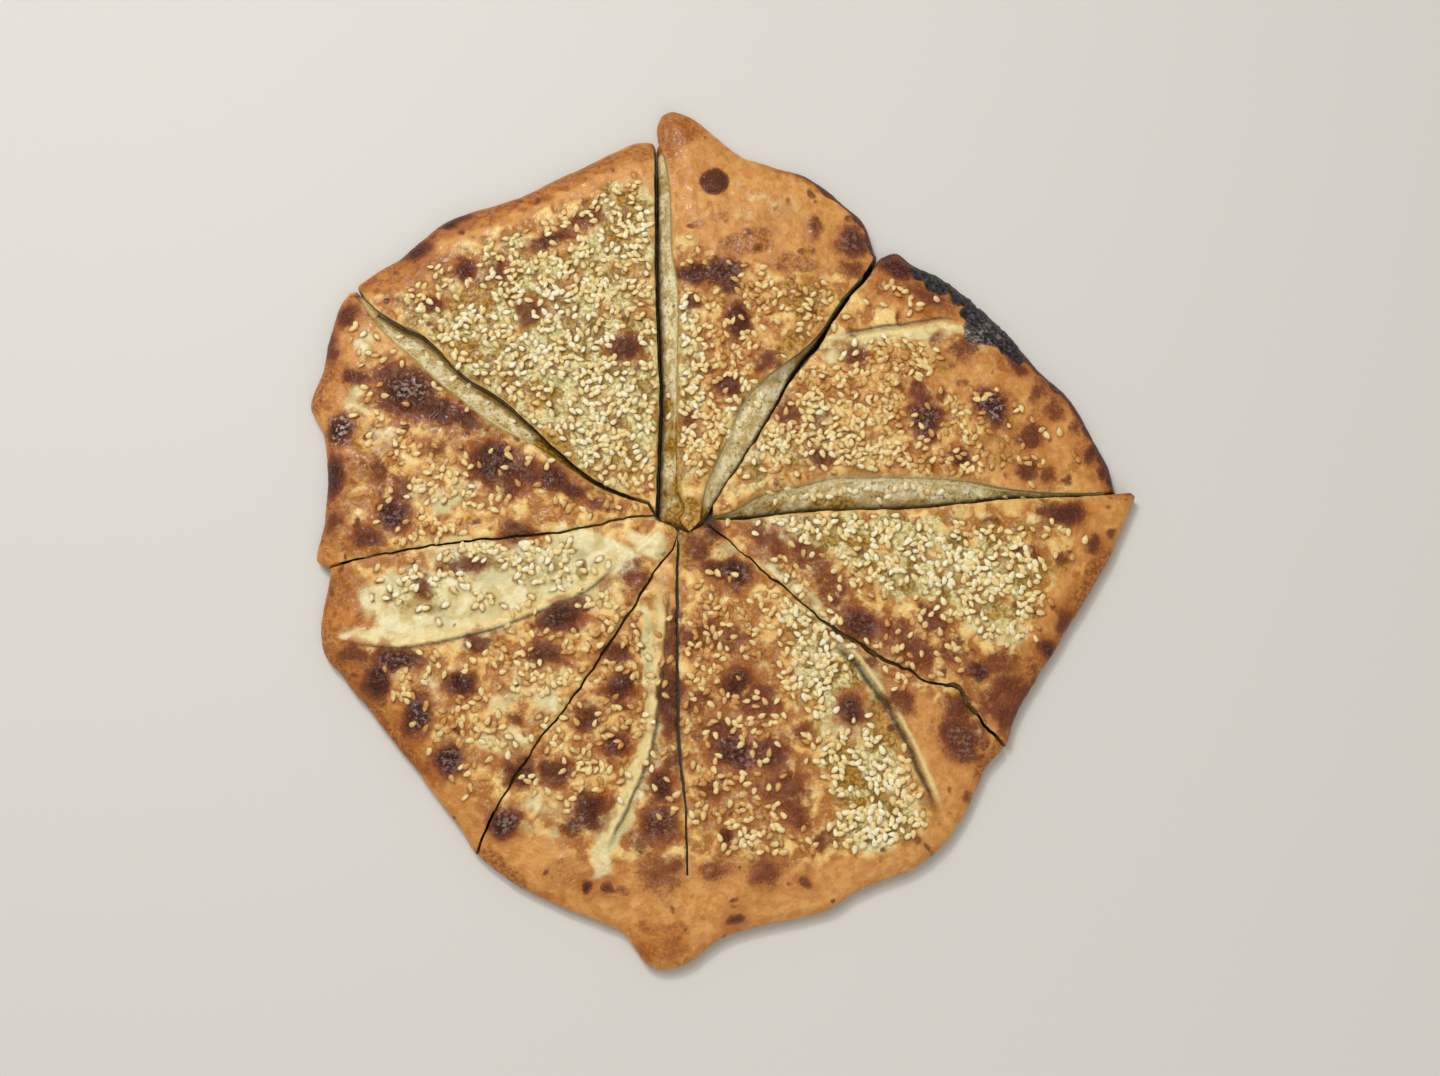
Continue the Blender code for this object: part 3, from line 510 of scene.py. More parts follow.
RUSTY_PATCHES = [
    (-17, 139, 10, 9, 1), (-19, 130, 4, 8, 0.7), (-62, 116, 38, 5, 25, 1), (-112, 88, 15, 8, 42, 1),
    (-98, 84, 14, 8, 30, 0.6), (-124, -30, 8, 13, 1), (66, 77, 20, 7, -30, 0.8), (-18, -138, 11, 8, 0.75),
    (-50, -122, 30, 5, 20, 0.45), (52, -114, 14, 4, 18, 0.3), (-110, -66, 34, 4, -50, 0.9),
    (30, 120, 26, 3, -25, 0.7), (118, -26, 4, 22, -30, 0.6), (-132, 50, 4, 20, 0.6), (-130, 0, 5, 20, 0.6),
    (-30, 128, 8, 5, 20, 0.5), (48, 104, 5, 8, 20, 0.4),
]
AMBER_PATCHES = [
    (-82, 76, 9, 6, 20, 1), (-85, 56, 6, 4, -20, 1), (-72, 47, 4.4, 4, 1), (-61, 40, 6, 4, -30, 0.9),
    (-55, 22, 9, 4, -32, 1), (-35, 100, 5, 9, 0.9), (-76, 84, 4, 6, 0.8), (-28, 70, 4, 30, 0.5),
    (42, -95, 5, 3.4, 1.2), (56, -92, 4, 5, 0.6), (60, -104, 8, 3, 15, 0.5), (36, -106, 5, 3, 0.6),
    (40, -84, 6, 6, 0.8), (25, -38, 4.4, 3, 1), (37, -50, 5, 4, 0.6), (28, 76, 10, 9, -30, 0.8),
    (24, 60, 8, 3, 45, 0.9), (98, -4, 2.4, 2.4, 1), (90, -2, 2, 2, 1), (97, -15, 3, 3, 1),
    (105, -15, 3, 3, 0.9), (112, -18, 3, 3, 0.9), (46, -9, 7, 2, 0.7), (-32, 104, 5, 14, 0.7),
    (-50, 60, 4, 5, 0.5), (-44, 42, 5, 3, 0.6), (-30, 20, 5, 8, 0.7), (-66, 74, 3, 4, 0.5),
    (-90, 75, 6, 5, 0.7), (-97, 68, 9, 3, -38, 0.6), (-72, 33, 10, 3, -35, 0.3), (90, -33, 12, 3, -10, 0.6),
    (60, -24, 5, 5, 0.4), (-45, 12, 12, 4, -30, 0.9), (-95, 20, 6, 4, 0.6), (-110, 64, 8, 3, -42, 0.3),
    (30, -20, 10, 4, -40, 0.4), (-110, -62, 30, 4, -50, 0.5), (95, 25, 12, 12, 0.5), (70, 52, 10, 8, 0.5),
    (-2, -26, 8, 4, 0.4), (-11, -9, 5, 8, 1.6), (-12, -1, 7, 6, 1.6), (52, -74, 6, 12, 25, 0.5),
    (18, 8, 10, 3, 10, 0.5), (-14, 20, 2, 24, 0.8), (-18, 30, 2.6, 13, 0.9), (-17, 4, 3, 7, 0.8),
    (37, 5, 9, 2.6, 4, 1), (62, 5, 8, 1.6, 2, 0.6), (15, 3, 10, 2.4, 20, 0.6), (50, 6, 16, 2.4, 0.5),
    (-40, 80, 8, 6, 0.4),
]

# Painted highlights: places where pale flecks of shine are painted on, as the spots
PAINTED_GLINTS = [
    (-127.5, 28, 4, 5.5, 1.6), (-104, 43, 6.5, 5, 0.9), (-114, 27, 5, 5, 0.7), (90, 37, 4.5, 6, 0.9),
    (-97, -67, 3.4, 5, 0.9), (-9, 105, 2.4, 3, 0.7), (-105, -51, 7, 4, 0.5), (-46, -101, 4, 4, 0.6),
    (6, -21, 5, 4, 0.5), (8, -79, 6, 5, 0.5), (84, -52, 3, 3, 0.4), (-72, 16, 7, 6, 0.4),
    (90, 63, 6, 6, 0.5), (68, 33, 4, 6, 0.5), (44, 97, 4, 4, 0.4), (78, -76, 4, 5, 0.4),
    (-88, -81, 4, 4, 0.5), (-70, -100, 4, 4, 0.6), (-20, -102, 5, 4, 0.4), (42, -65, 3, 4, 0.4),
    (45, -36, 6, 4, -30, 0.25), (66, -39, 7, 7, 0.25), (-108, -1, 4, 5, 0.4), (0, 85, 6, 4, 0.4),
]

# How thickly the seeds lie, as patches of density, and places that stay bare
STREWN_PATCHES = [
    (-58, 62, 36, 34, 0.46), (-72, 90, 26, 8, 25, 0.34), (-40, 105, 16, 9, 20, 0.34),
    (-35, 25, 20, 18, -35, 0.5), (-62, 84, 14, 8, 20, 0.75), (-66, 64, 14, 9, 0.7), (-48, 50, 12, 9, 0.7),
    (-44, 28, 12, 8, -30, 0.8), (-36, 40, 9, 8, 0.7), (-40, 78, 12, 8, 0.6), (-30, 90, 7, 26, 0.6),
    (-92, 65, 18, 5, -40, 0.7), (-95, 83, 10, 5, 30, 0.2), (-2, 45, 14, 38, 0.8), (5, 76, 24, 10, 0.5),
    (30, 72, 12, 10, -40, 0.4), (-12, 70, 6, 24, 0.6), (35, 32, 26, 20, -10, 0.9), (55, 52, 20, 9, 5, 0.6),
    (72, 26, 16, 14, 0.55), (60, 76, 12, 5, 0.3), (90, 30, 13, 16, 0.22), (108, 20, 12, 10, 0.14),
    (45, 18, 30, 6, 5, 0.75), (30, -6, 26, 5, -3, 0.6), (84, -22, 22, 17, 0.75), (55, -15, 20, 12, 0.6),
    (62, -45, 16, 9, -20, 0.45), (30, -22, 16, 7, -40, 0.35), (105, -10, 12, 9, 0.2), (98, -42, 8, 8, 0.15),
    (0, -40, 12, 18, 0.5), (5, -82, 15, 24, 0.5), (30, -46, 12, 16, -30, 0.85), (38, -75, 11, 20, 15, 0.5),
    (50, -100, 16, 8, 18, 0.95), (54, -86, 8, 8, 0.8), (14, -106, 16, 7, 0.4), (-8, -75, 5, 30, 0.4),
    (20, -30, 8, 8, -40, 0.5), (57, -56, 4, 3, 0.4), (-30, -60, 13, 26, 8, 0.3),
    (-50, -84, 18, 13, -30, 0.4), (-18, -50, 3, 24, 0.25), (-17, -90, 5, 14, 0.3), (-40, -35, 10, 10, 0.4),
    (-60, -50, 22, 12, -25, 0.36), (-88, -65, 22, 13, -35, 0.26), (-85, -84, 13, 6, -40, 0.2),
    (-100, -22, 15, 6, 0.5), (-62, -15, 24, 7, -10, 0.5), (-84, -31, 26, 7, -4, 0.22),
    (-85, -12, 14, 3, 0.6), (-50, -24, 10, 5, -20, 0.35), (-104, -56, 9, 7, 0.3),
    (-88, 12, 22, 11, -10, 0.38), (-112, 35, 11, 13, 0.18), (-119, 60, 7, 11, 0.22),
    (-60, 14, 14, 7, -20, 0.26), (-40, 2, 14, 4, -5, 0.28), (-104, -4, 15, 6, 0.22),
    (-95, 46, 22, 4, -38, 0.26),
]
BARE_PATCHES = [
    (12, 115, 48, 22, -20, 1), (-105, 98, 18, 6, 38, 1), (0, -134, 90, 14, 1), (130, 2, 8, 12, 0.8),
    (-102, -36, 22, 5, -2, 0.7), (-14, 112, 6, 24, 0.9), (88, 66, 9, 8, 1), (-50, 124, 30, 5, 25, 1),
    (113, -36, 7, 24, -30, 0.8), (119, 24, 7, 24, -22, 0.7), (-128, 10, 5, 26, 0.6), (-8, 1, 9, 8, 0.9),
    (70, -80, 8, 22, 22, 1), (-82, 76, 7, 5, 20, 0.8), (-124, -30, 8, 10, 1), (-18, -122, 14, 10, 0.9),
    (-62, 37, 4, 4, 0.6), (-72, 47, 4, 3, 0.6), (-85, 56, 5, 3, 0.6), (42, -95, 4, 3, 0.7),
]

# Seeds on the sloped cut faces: x, y, half length, half width, turn and how many
FACE_SEEDS = [
    (44, 7.6, 30, 2.4, 2, 20), (92, 7.2, 10, 0.8, -6, 3), (7, 34, 12, 1.6, 54, 6),
    (-90, 49, 26, 1.2, -37, 7), (-17.5, 40, 34, 1, 90, 4),
]

# Each kind of spot with how soft its edge is
SPOT_KINDS = {
    "black": (BLACK_SPOTS, 0.35), "dark": (DARK_SPOTS, 0.62), "stain": (STAINS, 0.6),
    "toasted": (TOASTED_PATCHES, 0.6), "golden": (ORANGE_PATCHES, 0.5), "pale": (PALE_PATCHES, 0.5),
    "green": (GREEN_PATCHES, 0.6), "amber": (AMBER_PATCHES, 0.5), "rusty": (RUSTY_PATCHES, 0.6),
    "painted_glint": (PAINTED_GLINTS, 0.5), "strewn": (STREWN_PATCHES, 0.3), "bare": (BARE_PATCHES, 0.25),
}

# The maps that colour a crust everywhere but on its cut walls
CRUST_FIELDS = (
    "black", "dark", "near_dark", "stain", "pale", "green", "amber", "rusty", "painted_glint", "crease_shade", "lip",
    "ring",
)


def step_between(low, high, values):
    """Rises smoothly from 0 at low to 1 at high."""
    t = np.clip((values - low) / (high - low), 0, 1)
    return t * t * (3 - 2 * t)


def falls_between(low, high, values):
    """Falls smoothly from 1 at low to 0 at high."""
    return 1 - step_between(low, high, values)


def noise(x, y, size, seed):
    """Smooth random numbers, about -1 to 1, that change over about size millimetres."""
    turns = np.random.default_rng(seed).uniform(0, 2 * math.pi, (NOISE_TABLE, NOISE_TABLE))
    lean = 0.6 + seed
    u = (x * math.cos(lean) + y * math.sin(lean)) / size
    v = (y * math.cos(lean) - x * math.sin(lean)) / size
    i = np.floor(u).astype(int)
    j = np.floor(v).astype(int)
    total = np.zeros(np.shape(u))
    for di in (0, 1):
        for dj in (0, 1):
            turn = turns[(i + di) % NOISE_TABLE, (j + dj) % NOISE_TABLE]
            along, across = u - i - di, v - j - dj
            weight = falls_between(0, 1, abs(along)) * falls_between(0, 1, abs(across))
            total += weight * (along * np.cos(turn) + across * np.sin(turn))
    return total * NOISE_GAIN


def rough_noise(x, y, size, seed):
    """Noise with two finer layers on it."""
    fine = 0.5 * noise(x, y, size / 2.1, seed + 1) + 0.25 * noise(x, y, size / 4.3, seed + 2)
    return noise(x, y, size, seed) + fine


def map_noise(size, seed, kind=noise):
    """Noise for every cell of the map."""
    return kind(GRID_X, GRID_Y, size, seed)


def warped(x, y):
    """Places moved a little, so that round shapes come out uneven."""
    for k, (size, reach) in enumerate(WARP_SIZES):
        x, y = x + reach * noise(x, y, size, 31 + k), y + reach * noise(x, y, size, 41 + k)
    return x, y


WARPED_X, WARPED_Y = warped(GRID_X, GRID_Y)


def turned(dx, dy, angle):
    """How far places lie along and across a direction."""
    c, s = math.cos(angle), math.sin(angle)
    return dx * c + dy * s, dy * c - dx * s


def points_of(values):
    return np.array([value[:2] for value in values], float)


def sideways(points):
    """Unit vectors to the right of a line's direction of travel, at each of its points."""
    along = np.empty_like(points)
    along[1:-1] = points[2:] - points[:-2]
    along[0] = points[1] - points[0]
    along[-1] = points[-1] - points[-2]
    along /= np.maximum(np.linalg.norm(along, axis=1, keepdims=True), TINY)
    return np.column_stack([along[:, 1], -along[:, 0]])


def curve(start, leaving, end, arriving, t):
    """The smooth curve from start to end with the given slopes, at the shares t of the way."""
    return (
        start * (2 * t**3 - 3 * t**2 + 1)
        + leaving * (t**3 - 2 * t**2 + t)
        + end * (3 * t**2 - 2 * t**3)
        + arriving * (t**3 - t**2)
    )


def smooth_line(points, step):
    """Points about a step apart along the smooth curve through the given ones."""
    places = points_of(points)
    last = len(places) - 1
    line = []
    for i in range(last):
        start, end = places[i], places[i + 1]
        leaving = (end - places[max(i - 1, 0)]) / 2
        arriving = (places[min(i + 2, last)] - start) / 2
        longest = np.linalg.norm(end - start)
        leaving *= min(1, longest / np.linalg.norm(leaving))
        arriving *= min(1, longest / np.linalg.norm(arriving))
        parts = max(1, round(longest / step))
        line.append(curve(start, leaving, end, arriving, (np.arange(parts) / parts)[:, None]))
    return np.concatenate(line + [places[-1:]])


def eased(values, at):
    """A smooth curve through one value for each of LEVELS."""
    slopes = np.gradient(values, LEVELS)
    k = np.clip(np.searchsorted(LEVELS, at, side="right") - 1, 0, len(LEVELS) - 2)
    size = LEVELS[k + 1] - LEVELS[k]
    return curve(values[k], slopes[k] * size, values[k + 1], slopes[k + 1] * size, (at - LEVELS[k]) / size)


def reach_along(points):
    """The distance along a line from its start to each of its points."""
    steps = np.linalg.norm(np.diff(points, axis=0), axis=1)
    return np.concatenate([[0], np.cumsum(steps)])


def places_at(points, reaches):
    """The places at the given distances along a line."""
    own = reach_along(points)
    return np.column_stack([np.interp(reaches, own, points[:, 0]), np.interp(reaches, own, points[:, 1])])


def from_segment(x, y, a, b):
    """The distance of each place to a straight line between two points, and which side it is on."""
    span = b - a
    dx, dy = x - a[0], y - a[1]
    share = np.clip((dx * span[0] + dy * span[1]) / max(span @ span, TINY), 0, 1)
    away_x, away_y = dx - share * span[0], dy - share * span[1]
    return np.hypot(away_x, away_y), np.where(span[0] * away_y - span[1] * away_x < 0, 1.0, -1.0)


def to_line(x, y, line):
    """The distance of each place to a line, positive to its right and negative to its left."""
    nearest = np.full(np.shape(x), FAR)
    signed = nearest.copy()
    for a, b in zip(line, line[1:]):
        away, side = from_segment(x, y, a, b)
        signed = np.where(away < nearest, away * side, signed)
        nearest = np.minimum(nearest, away)
    return signed


def map_to_line(line, reach, warp=0.0):
    """The same for every cell of the map, and the reach itself where a cell is farther than that."""
    nearest = np.full(GRID_X.shape, float(reach))
    signed = nearest.copy()
    for a, b in zip(line, line[1:]):
        middle = (a + b) / 2
        area = window(*middle, reach + np.linalg.norm(b - a))
        x = GRID_X[area] + warp * (WARPED_X[area] - GRID_X[area])
        y = GRID_Y[area] + warp * (WARPED_Y[area] - GRID_Y[area])
        away, side = from_segment(x, y, a, b)
        signed[area] = np.where(away < nearest[area], away * side, signed[area])
        nearest[area] = np.minimum(nearest[area], away)
    return signed


def cut_side(name, side, step=EDGE_STEP, squeeze=1.0):
    """One wall of a knife cut, from the middle outwards, with the small waver of a hand-held knife."""
    centre = points_of(CUTS[name])
    widths = np.array([point[2] for point in CUTS[name]])[:, None] * squeeze
    way = 0.5 if side == "right" else -0.5
    wall = smooth_line(centre + sideways(centre) * way * widths, step)
    return wall + cut_waver(name, wall)


def cut_waver(name, places):
    """Both walls of a cut waver alike, so that its gap stays open."""
    x, y = places.T
    waver = np.column_stack([noise(x, y, 6.0, 51), noise(x, y, 6.0, 52)])
    tremble = np.column_stack([noise(x, y, 2.2, 53), noise(x, y, 2.2, 54)])
    far = reach_along(places)[:, None]
    free = step_between(*WAVER_FROM_MIDDLE, far) * step_between(*WAVER_FROM_RIM, far[-1] - far)
    return (waver + TREMBLE * tremble) * CUT_WAVER.get(name, USUAL_WAVER) * free


OUTLINE = np.concatenate([smooth_line(rim, OUTLINE_STEP) for rim in RIMS.values()])
CLOSED_OUTLINE = np.concatenate([OUTLINE, OUTLINE[:1]])


def window(x, y, reach):
    """The part of the map round a place."""
    columns = slice(*np.clip(np.searchsorted(MAP_X, (x - reach, x + reach)), 0, len(MAP_X)))
    rows = slice(*np.clip(np.searchsorted(MAP_Y, (y - reach, y + reach)), 0, len(MAP_Y)))
    return rows, columns


def radius_in(area, x, y, half_length, half_width, turn=0):
    """How far the cells of an area lie from a spot's middle, with 1 at the spot's edge."""
    along, across = turned(WARPED_X[area] - x, WARPED_Y[area] - y, math.radians(turn))
    return np.hypot(along / half_length, across / half_width)


def laid_out(spots, softness):
    """A map of soft spots. The strongest one counts where they meet."""
    field = np.zeros(GRID_X.shape)
    for *shape, strength in spots:
        area = window(*shape[:2], max(shape[2:4]) * (1 + softness) + SPOT_ROOM)
        soft = strength * falls_between(1 - softness, 1 + softness, radius_in(area, *shape))
        field[area] = np.maximum(field[area], soft)
    return field


def read_map(field, x, y):
    """A map's values at any places, from the four cells round each."""
    u = np.clip((x - MAP_X[0]) / CELL, 0, len(MAP_X) - 1.001)
    v = np.clip((y - MAP_Y[0]) / CELL, 0, len(MAP_Y) - 1.001)
    i, j = u.astype(int), v.astype(int)
    s, t = u - i, v - j
    near = field[j, i] * (1 - s) + field[j, i + 1] * s
    far = field[j + 1, i] * (1 - s) + field[j + 1, i + 1] * s
    return near * (1 - t) + far * t


def top_lines():
    """Each piece's top edges along its cuts."""
    for name in CUTS:
        for side in ("left", "right"):
            if (name, side) in SLOPED_FACES:
                yield smooth_line(LIPS[SLOPED_FACES[name, side][0]], COARSE_STEP)
            else:
                yield cut_side(name, side, COARSE_STEP)


def small_spots(count, seed, sizes, keep):
    """Random small spots on the pie, more of them where the map keep is high."""
    draw = np.random.default_rng(seed)
    spots = []
    while len(spots) < count:
        x, y, chance = draw.uniform(-HALF_X, HALF_X), draw.uniform(-HALF_Y, HALF_Y), draw.uniform()
        size, squash = draw.uniform(*sizes), draw.uniform(FLATTEST_SPOT, 1)
        turn, strength = draw.uniform(0, 180), draw.uniform()
        if chance < read_map(keep, np.array([x]), np.array([y]))[0]:
            spots.append((x, y, size, size * squash, turn, strength))
    return spots


def map_edges():
    """How far each cell is from the rim and the cuts, and where cut walls get painted shade or end in a foot
    of painted shade.
    """
    from_cut = np.full(GRID_X.shape, float(CUT_REACH))
    for line in top_lines():
        from_cut = np.minimum(from_cut, abs(map_to_line(line, CUT_REACH)))
    cut_wall_shade, gap = np.zeros(GRID_X.shape), np.zeros(GRID_X.shape)
    for line in [CUTS[name] for name in SHADED_WALL_CUTS] + [CUTS[name][at:] for name, at in SHADED_WALL_FROM_POINT.items()]:
        away = abs(map_to_line(smooth_line(line, CUT_MAP_STEP), CUT_REACH))
        cut_wall_shade = np.maximum(cut_wall_shade, falls_between(*WALL_SHADE_REACH, away))
    # Painted shade at the foot of the sloped faces
    for name, near in GAP_SHADES:
        away = abs(map_to_line(smooth_line(CUTS[name], CUT_MAP_STEP), near + 2))
        gap = np.maximum(gap, falls_between(near, near + 1, away))
    from_rim = abs(map_to_line(CLOSED_OUTLINE, RIM_REACH))
    return {"from_rim": from_rim, "from_cut": from_cut, "cut_wall_shade": cut_wall_shade, "gap": gap}


def map_spots():
    """The spots and patches as they are listed."""
    spots = {name: laid_out(listed, softness) for name, (listed, softness) in SPOT_KINDS.items()}
    for x, y, radius, strength in ROUND_SPOTS:
        r = np.hypot(GRID_X - x, GRID_Y - y) / radius
        spots["dark"] = np.maximum(spots["dark"], strength * falls_between(0.85, 1.15, r))
    halos = [(x, y, length + HALO, width + HALO, *rest) for x, y, length, width, *rest in DARK_SPOTS]
    spots["near_dark"] = laid_out(halos, 0.5)
    spots["burnt"] = laid_out([(x, y, BURN_SIZE, BURN_SIZE, 1) for x, y in RIM_BURNS], 0.6)
    return spots


def bell(away, middle, width):
    return np.exp(-(((away - middle) / width) ** 2))


def map_flaps():
    """The drop beside the crust edges inside the pieces, and their creases with painted shadow, lips and
    ridges.
    """
    drop, crease_shade, lip, ridge = (np.zeros(GRID_X.shape) for _ in range(4))
    for points, deepest, fades, lip_shape, crease_shape in FLAPS:
        line = smooth_line(points, COARSE_STEP)
        away = map_to_line(line, fades + FLAP_ROOM, FLAP_WARP)
        to_ends = [np.hypot(GRID_X - x, GRID_Y - y) for x, y in (line[0], line[-1])]
        ends = np.minimum(1, np.minimum(*to_ends) / FLAP_ENDS)
        fading = np.clip(1 - away / fades, 0, 1) * step_between(0, FLAP_FACE, away)
        drop = np.maximum(drop, deepest * fading * ends)
        crease_shade = np.maximum(crease_shade, bell(away, *crease_shape) * ends)
        lip = np.maximum(lip, bell(away, *lip_shape) * ends)
        ridge = np.maximum(ridge, bell(away, *RIDGE) * ends)
    return drop, crease_shade, lip, ridge


def raise_dome(height, rise, roundness, room, *shape):
    """Adds a dome over a spot to a map of heights."""
    area = window(*shape[:2], max(shape[2:4]) + room)
    r = radius_in(area, *shape)
    height[area] += rise * np.maximum(0, 1 - r * r) ** roundness


def map_height(maps, spots):
    """The height of the top crust, with its blisters, puffs, lumps and wrinkles."""
    from_rim, dark, black = maps["from_rim"], spots["dark"], spots["black"]
    inside = np.maximum(0, from_rim - RIM_INSETS[-1])
    swell = SWELL * np.sin(GRID_X / SWELL_X + 1.0) * np.cos(GRID_Y / SWELL_Y)
    level = RIM_TOP + (PLATEAU - RIM_TOP + swell) * (1 - np.exp(-inside / RIM_SLOPE))
    spare = np.maximum(0, level - FILLING_TOP - LEAST_OVER_FILLING)
    drop, maps["crease_shade"], maps["lip"], ridge = map_flaps()
    height = level - np.minimum(spare, drop) + FLAP_LIP * ridge
    for *shape, rise in BLISTERS:
        raise_dome(height, rise, BLISTER_ROUNDNESS, BLISTER_ROOM, *shape)
    puffs = small_spots(PUFFS, PUFF_DRAW, PUFF_SIZES, np.clip(0.35 + 0.5 * spots["golden"], 0, 1))
    for *shape, strength in puffs:
        raise_dome(height, (0.12 + 0.22 * strength) * shape[2] / 2, PUFF_ROUNDNESS, PUFF_ROOM, *shape)
    free = step_between(*LUMPS_FROM_RIM, from_rim)
    lump = 0.75 * (rough_noise(WARPED_X, WARPED_Y, 5.2, 95) + rough_noise(WARPED_X, WARPED_Y, 6.3, 99))
    # The lumps' map, which also lays painted highlight and shade on the crust's colour
    maps["lump"] = np.clip(0.5 + 0.6 * lump, 0, 1)
    height += free * (LUMP_RISE - LUMP_LESS * np.maximum(spots["golden"], spots["pale"])) * lump
    for size, seed in BUMP_NOISES:
        height += free * BUMP_RISE * map_noise(size, seed, rough_noise)
    wrinkle = abs(noise(WARPED_X, WARPED_Y, WRINKLE_SIZE, 61))
    height += WRINKLE_RISE * (dark + black) * (0.35 - wrinkle)
    height += CHAR_RISE * black * map_noise(3.0, 77, rough_noise)
    height -= CUT_EDGE_DROP * np.maximum(0, 1 - maps["from_cut"] / CUT_EDGE_WIDTH) ** 2
    maps["height"] = np.minimum(height, HIGHEST - GLAZE_RISE)


def map_colours(maps, spots):
    """Where the crust is browned, pale, greenish and so on, with uneven edges."""
    from_rim = maps["from_rim"]
    browned = np.maximum(spots["near_dark"], spots["stain"])
    likely = np.clip(0.25 + 0.75 * browned - 0.4 * spots["pale"], 0.05, 1)
    freckles = laid_out(small_spots(FRECKLES, FRECKLE_DRAW, FRECKLE_SIZES, likely), 0.5)
    rim_brown = falls_between(1.5, 6.5, from_rim + 2 * map_noise(6, 81))
    north_east = step_between(95, 105, GRID_X + 0.6 * GRID_Y) * step_between(5, 12, GRID_Y)
    scorched = north_east * falls_between(1.2, 3.0, from_rim + 1.2 * map_noise(5, 82))
    toasted = spots["toasted"] * (0.45 + 0.5 * map_noise(7, 84, rough_noise))
    border = falls_between(5, 13, from_rim + 2.5 * map_noise(9, 87))
    green = spots["green"] * (0.85 + 0.6 * map_noise(8, 90, rough_noise))
    shown = {
        "dark": np.maximum.reduce([spots["dark"], freckles * 0.6, scorched]),
        "near_dark": spots["near_dark"] * (0.8 + 0.5 * map_noise(4, 83)),
        "stain": np.maximum(spots["stain"], rim_brown * spots["burnt"]) + toasted,
        "orange": spots["golden"] + 0.7 * border,
        "pale": spots["pale"] * (0.9 + 0.5 * map_noise(6, 88)) - 0.6 * border,
        "green": green - 0.8 * border,
        "amber": spots["amber"] * (0.9 + 0.5 * map_noise(5, 91, rough_noise)),
    }
    maps.update({name: np.clip(field, 0, 1) for name, field in shown.items()})
    maps.update({name: spots[name] for name in ("black", "rusty", "painted_glint")})


def map_strewing(maps, spots):
    """How thickly the seeds lie."""
    clumps = np.clip(1 + 1.2 * map_noise(8, 93, rough_noise), 0.1, 1.8)
    free = (1 - spots["bare"]) * (1 - 0.92 * spots["dark"]) * (1 - 0.25 * spots["near_dark"])
    free *= step_between(*SEEDS_FROM_RIM, maps["from_rim"])
    free *= 1 - 0.85 * np.maximum(maps["lip"], maps["crease_shade"])
    maps["strewn"] = np.clip(spots["strewn"] * clumps, 0, 1.2) * free


def make_maps():
    """All the maps by name, and the outline of each piece's top."""
    maps, spots = map_edges(), map_spots()
    map_height(maps, spots)
    map_colours(maps, spots)
    map_strewing(maps, spots)
    maps["loops"] = [profiles_of(piece)[1][:, -1] for piece in PIECES]
    return maps


def profiles_of(piece):
    """The piece's wall as columns from foot to top edge, clockwise: places by column and level."""
    first, last, tip = PIECES[piece]
    levels = np.linspace(0, 1, WALL_LEVELS)
    insets = eased(RIM_INSETS, levels)
    opening = step_between(*GAP_OPENS, levels)
    columns = []
    for (name, side), outward in ((first, True), (last, False)):
        foot = cut_side(name, side)
        lip, shares = foot, UPRIGHT
        if (name, side) in SLOPED_FACES:
            lip_name, shares = SLOPED_FACES[name, side]
            lip = smooth_line(LIPS[lip_name], EDGE_STEP)
        closed = cut_side(name, side, squeeze=FOOT_GAP)
        foot_reach = reach_along(foot)
        length, lip_length, closed_length = foot_reach[-1], reach_along(lip)[-1], reach_along(closed)[-1]
        left = length - foot_reach
        sloping = np.clip(np.interp(levels, LEVELS, shares), 0, 1)
        lean = step_between(0, LEAN_FROM, foot_reach) * step_between(0, LEAN_FROM, left)
        lean = sideways(foot) * (CUT_LEANS.get(name, 0) * lean)[:, None]
        wall = np.empty((len(foot), len(levels), 2))
        for k, (share, inset, opened) in enumerate(zip(sloping, insets, opening)):
            drawn_in = np.where(left < CORNER_REACH, inset + left * (1 - inset / CORNER_REACH), left)
            at = length - drawn_in
            low = places_at(closed, at / length * closed_length) * (1 - opened) + places_at(foot, at) * opened
            low += lean * (1 - levels[k])
            wall[:, k] = low + share * (places_at(lip, at / length * lip_length) - low)
        columns += [wall, rim_columns(piece, insets)] if outward else [wall[::-1]]
    if piece == "south":
        slit = np.concatenate([cut_side("j", "right"), cut_side("j", "left")[::-1]])
        columns.append(np.repeat(slit[:, None], len(levels), axis=1))
    if tip:
        leans = np.array([sum(point[2:]) for point in tip])
        rows = points_of(tip)[:, None] + np.zeros((1, len(levels), 1))
        rows[:, :, 0] += leans[:, None] * np.interp(levels, LEVELS, BULGING)[None]
        columns.append(rows)
    return levels, filled_between(np.concatenate(columns))


def rim_columns(piece, insets):
    """The columns of a piece's outer edge, with the small unevenness of hand-shaped dough."""
    rim = smooth_line(RIMS[piece], EDGE_STEP)
    x, y = rim.T
    uneven = sum(reach * noise(x, y, size, seed) for reach, size, seed in RIM_UNEVEN)
    crags = rough_noise(x, y, CRAG_SIZE, 103) * read_map(RIM_CRAGS, x, y)
    ends = np.minimum(np.arange(len(rim)), np.arange(len(rim))[::-1]) * EDGE_STEP
    brought_in = insets[None] + ((uneven + crags) * step_between(*UNEVEN_FROM_CORNER, ends))[:, None]
    columns = rim[:, None] + sideways(rim)[:, None] * brought_in[:, :, None]
    (first, first_side), (last, last_side), _ = PIECES[piece]
    top_x, top_y = columns[:, -1].T
    clear = to_line(top_x, top_y, cut_side(first, first_side, COARSE_STEP)) > CLEAR_OF_CUT
    clear &= to_line(top_x, top_y, cut_side(last, last_side, COARSE_STEP)) < -CLEAR_OF_CUT
    return columns[clear | (ends > 2 * CORNER_REACH)]


RIM_CRAGS = laid_out(BLACK_SPOTS, 0.6)


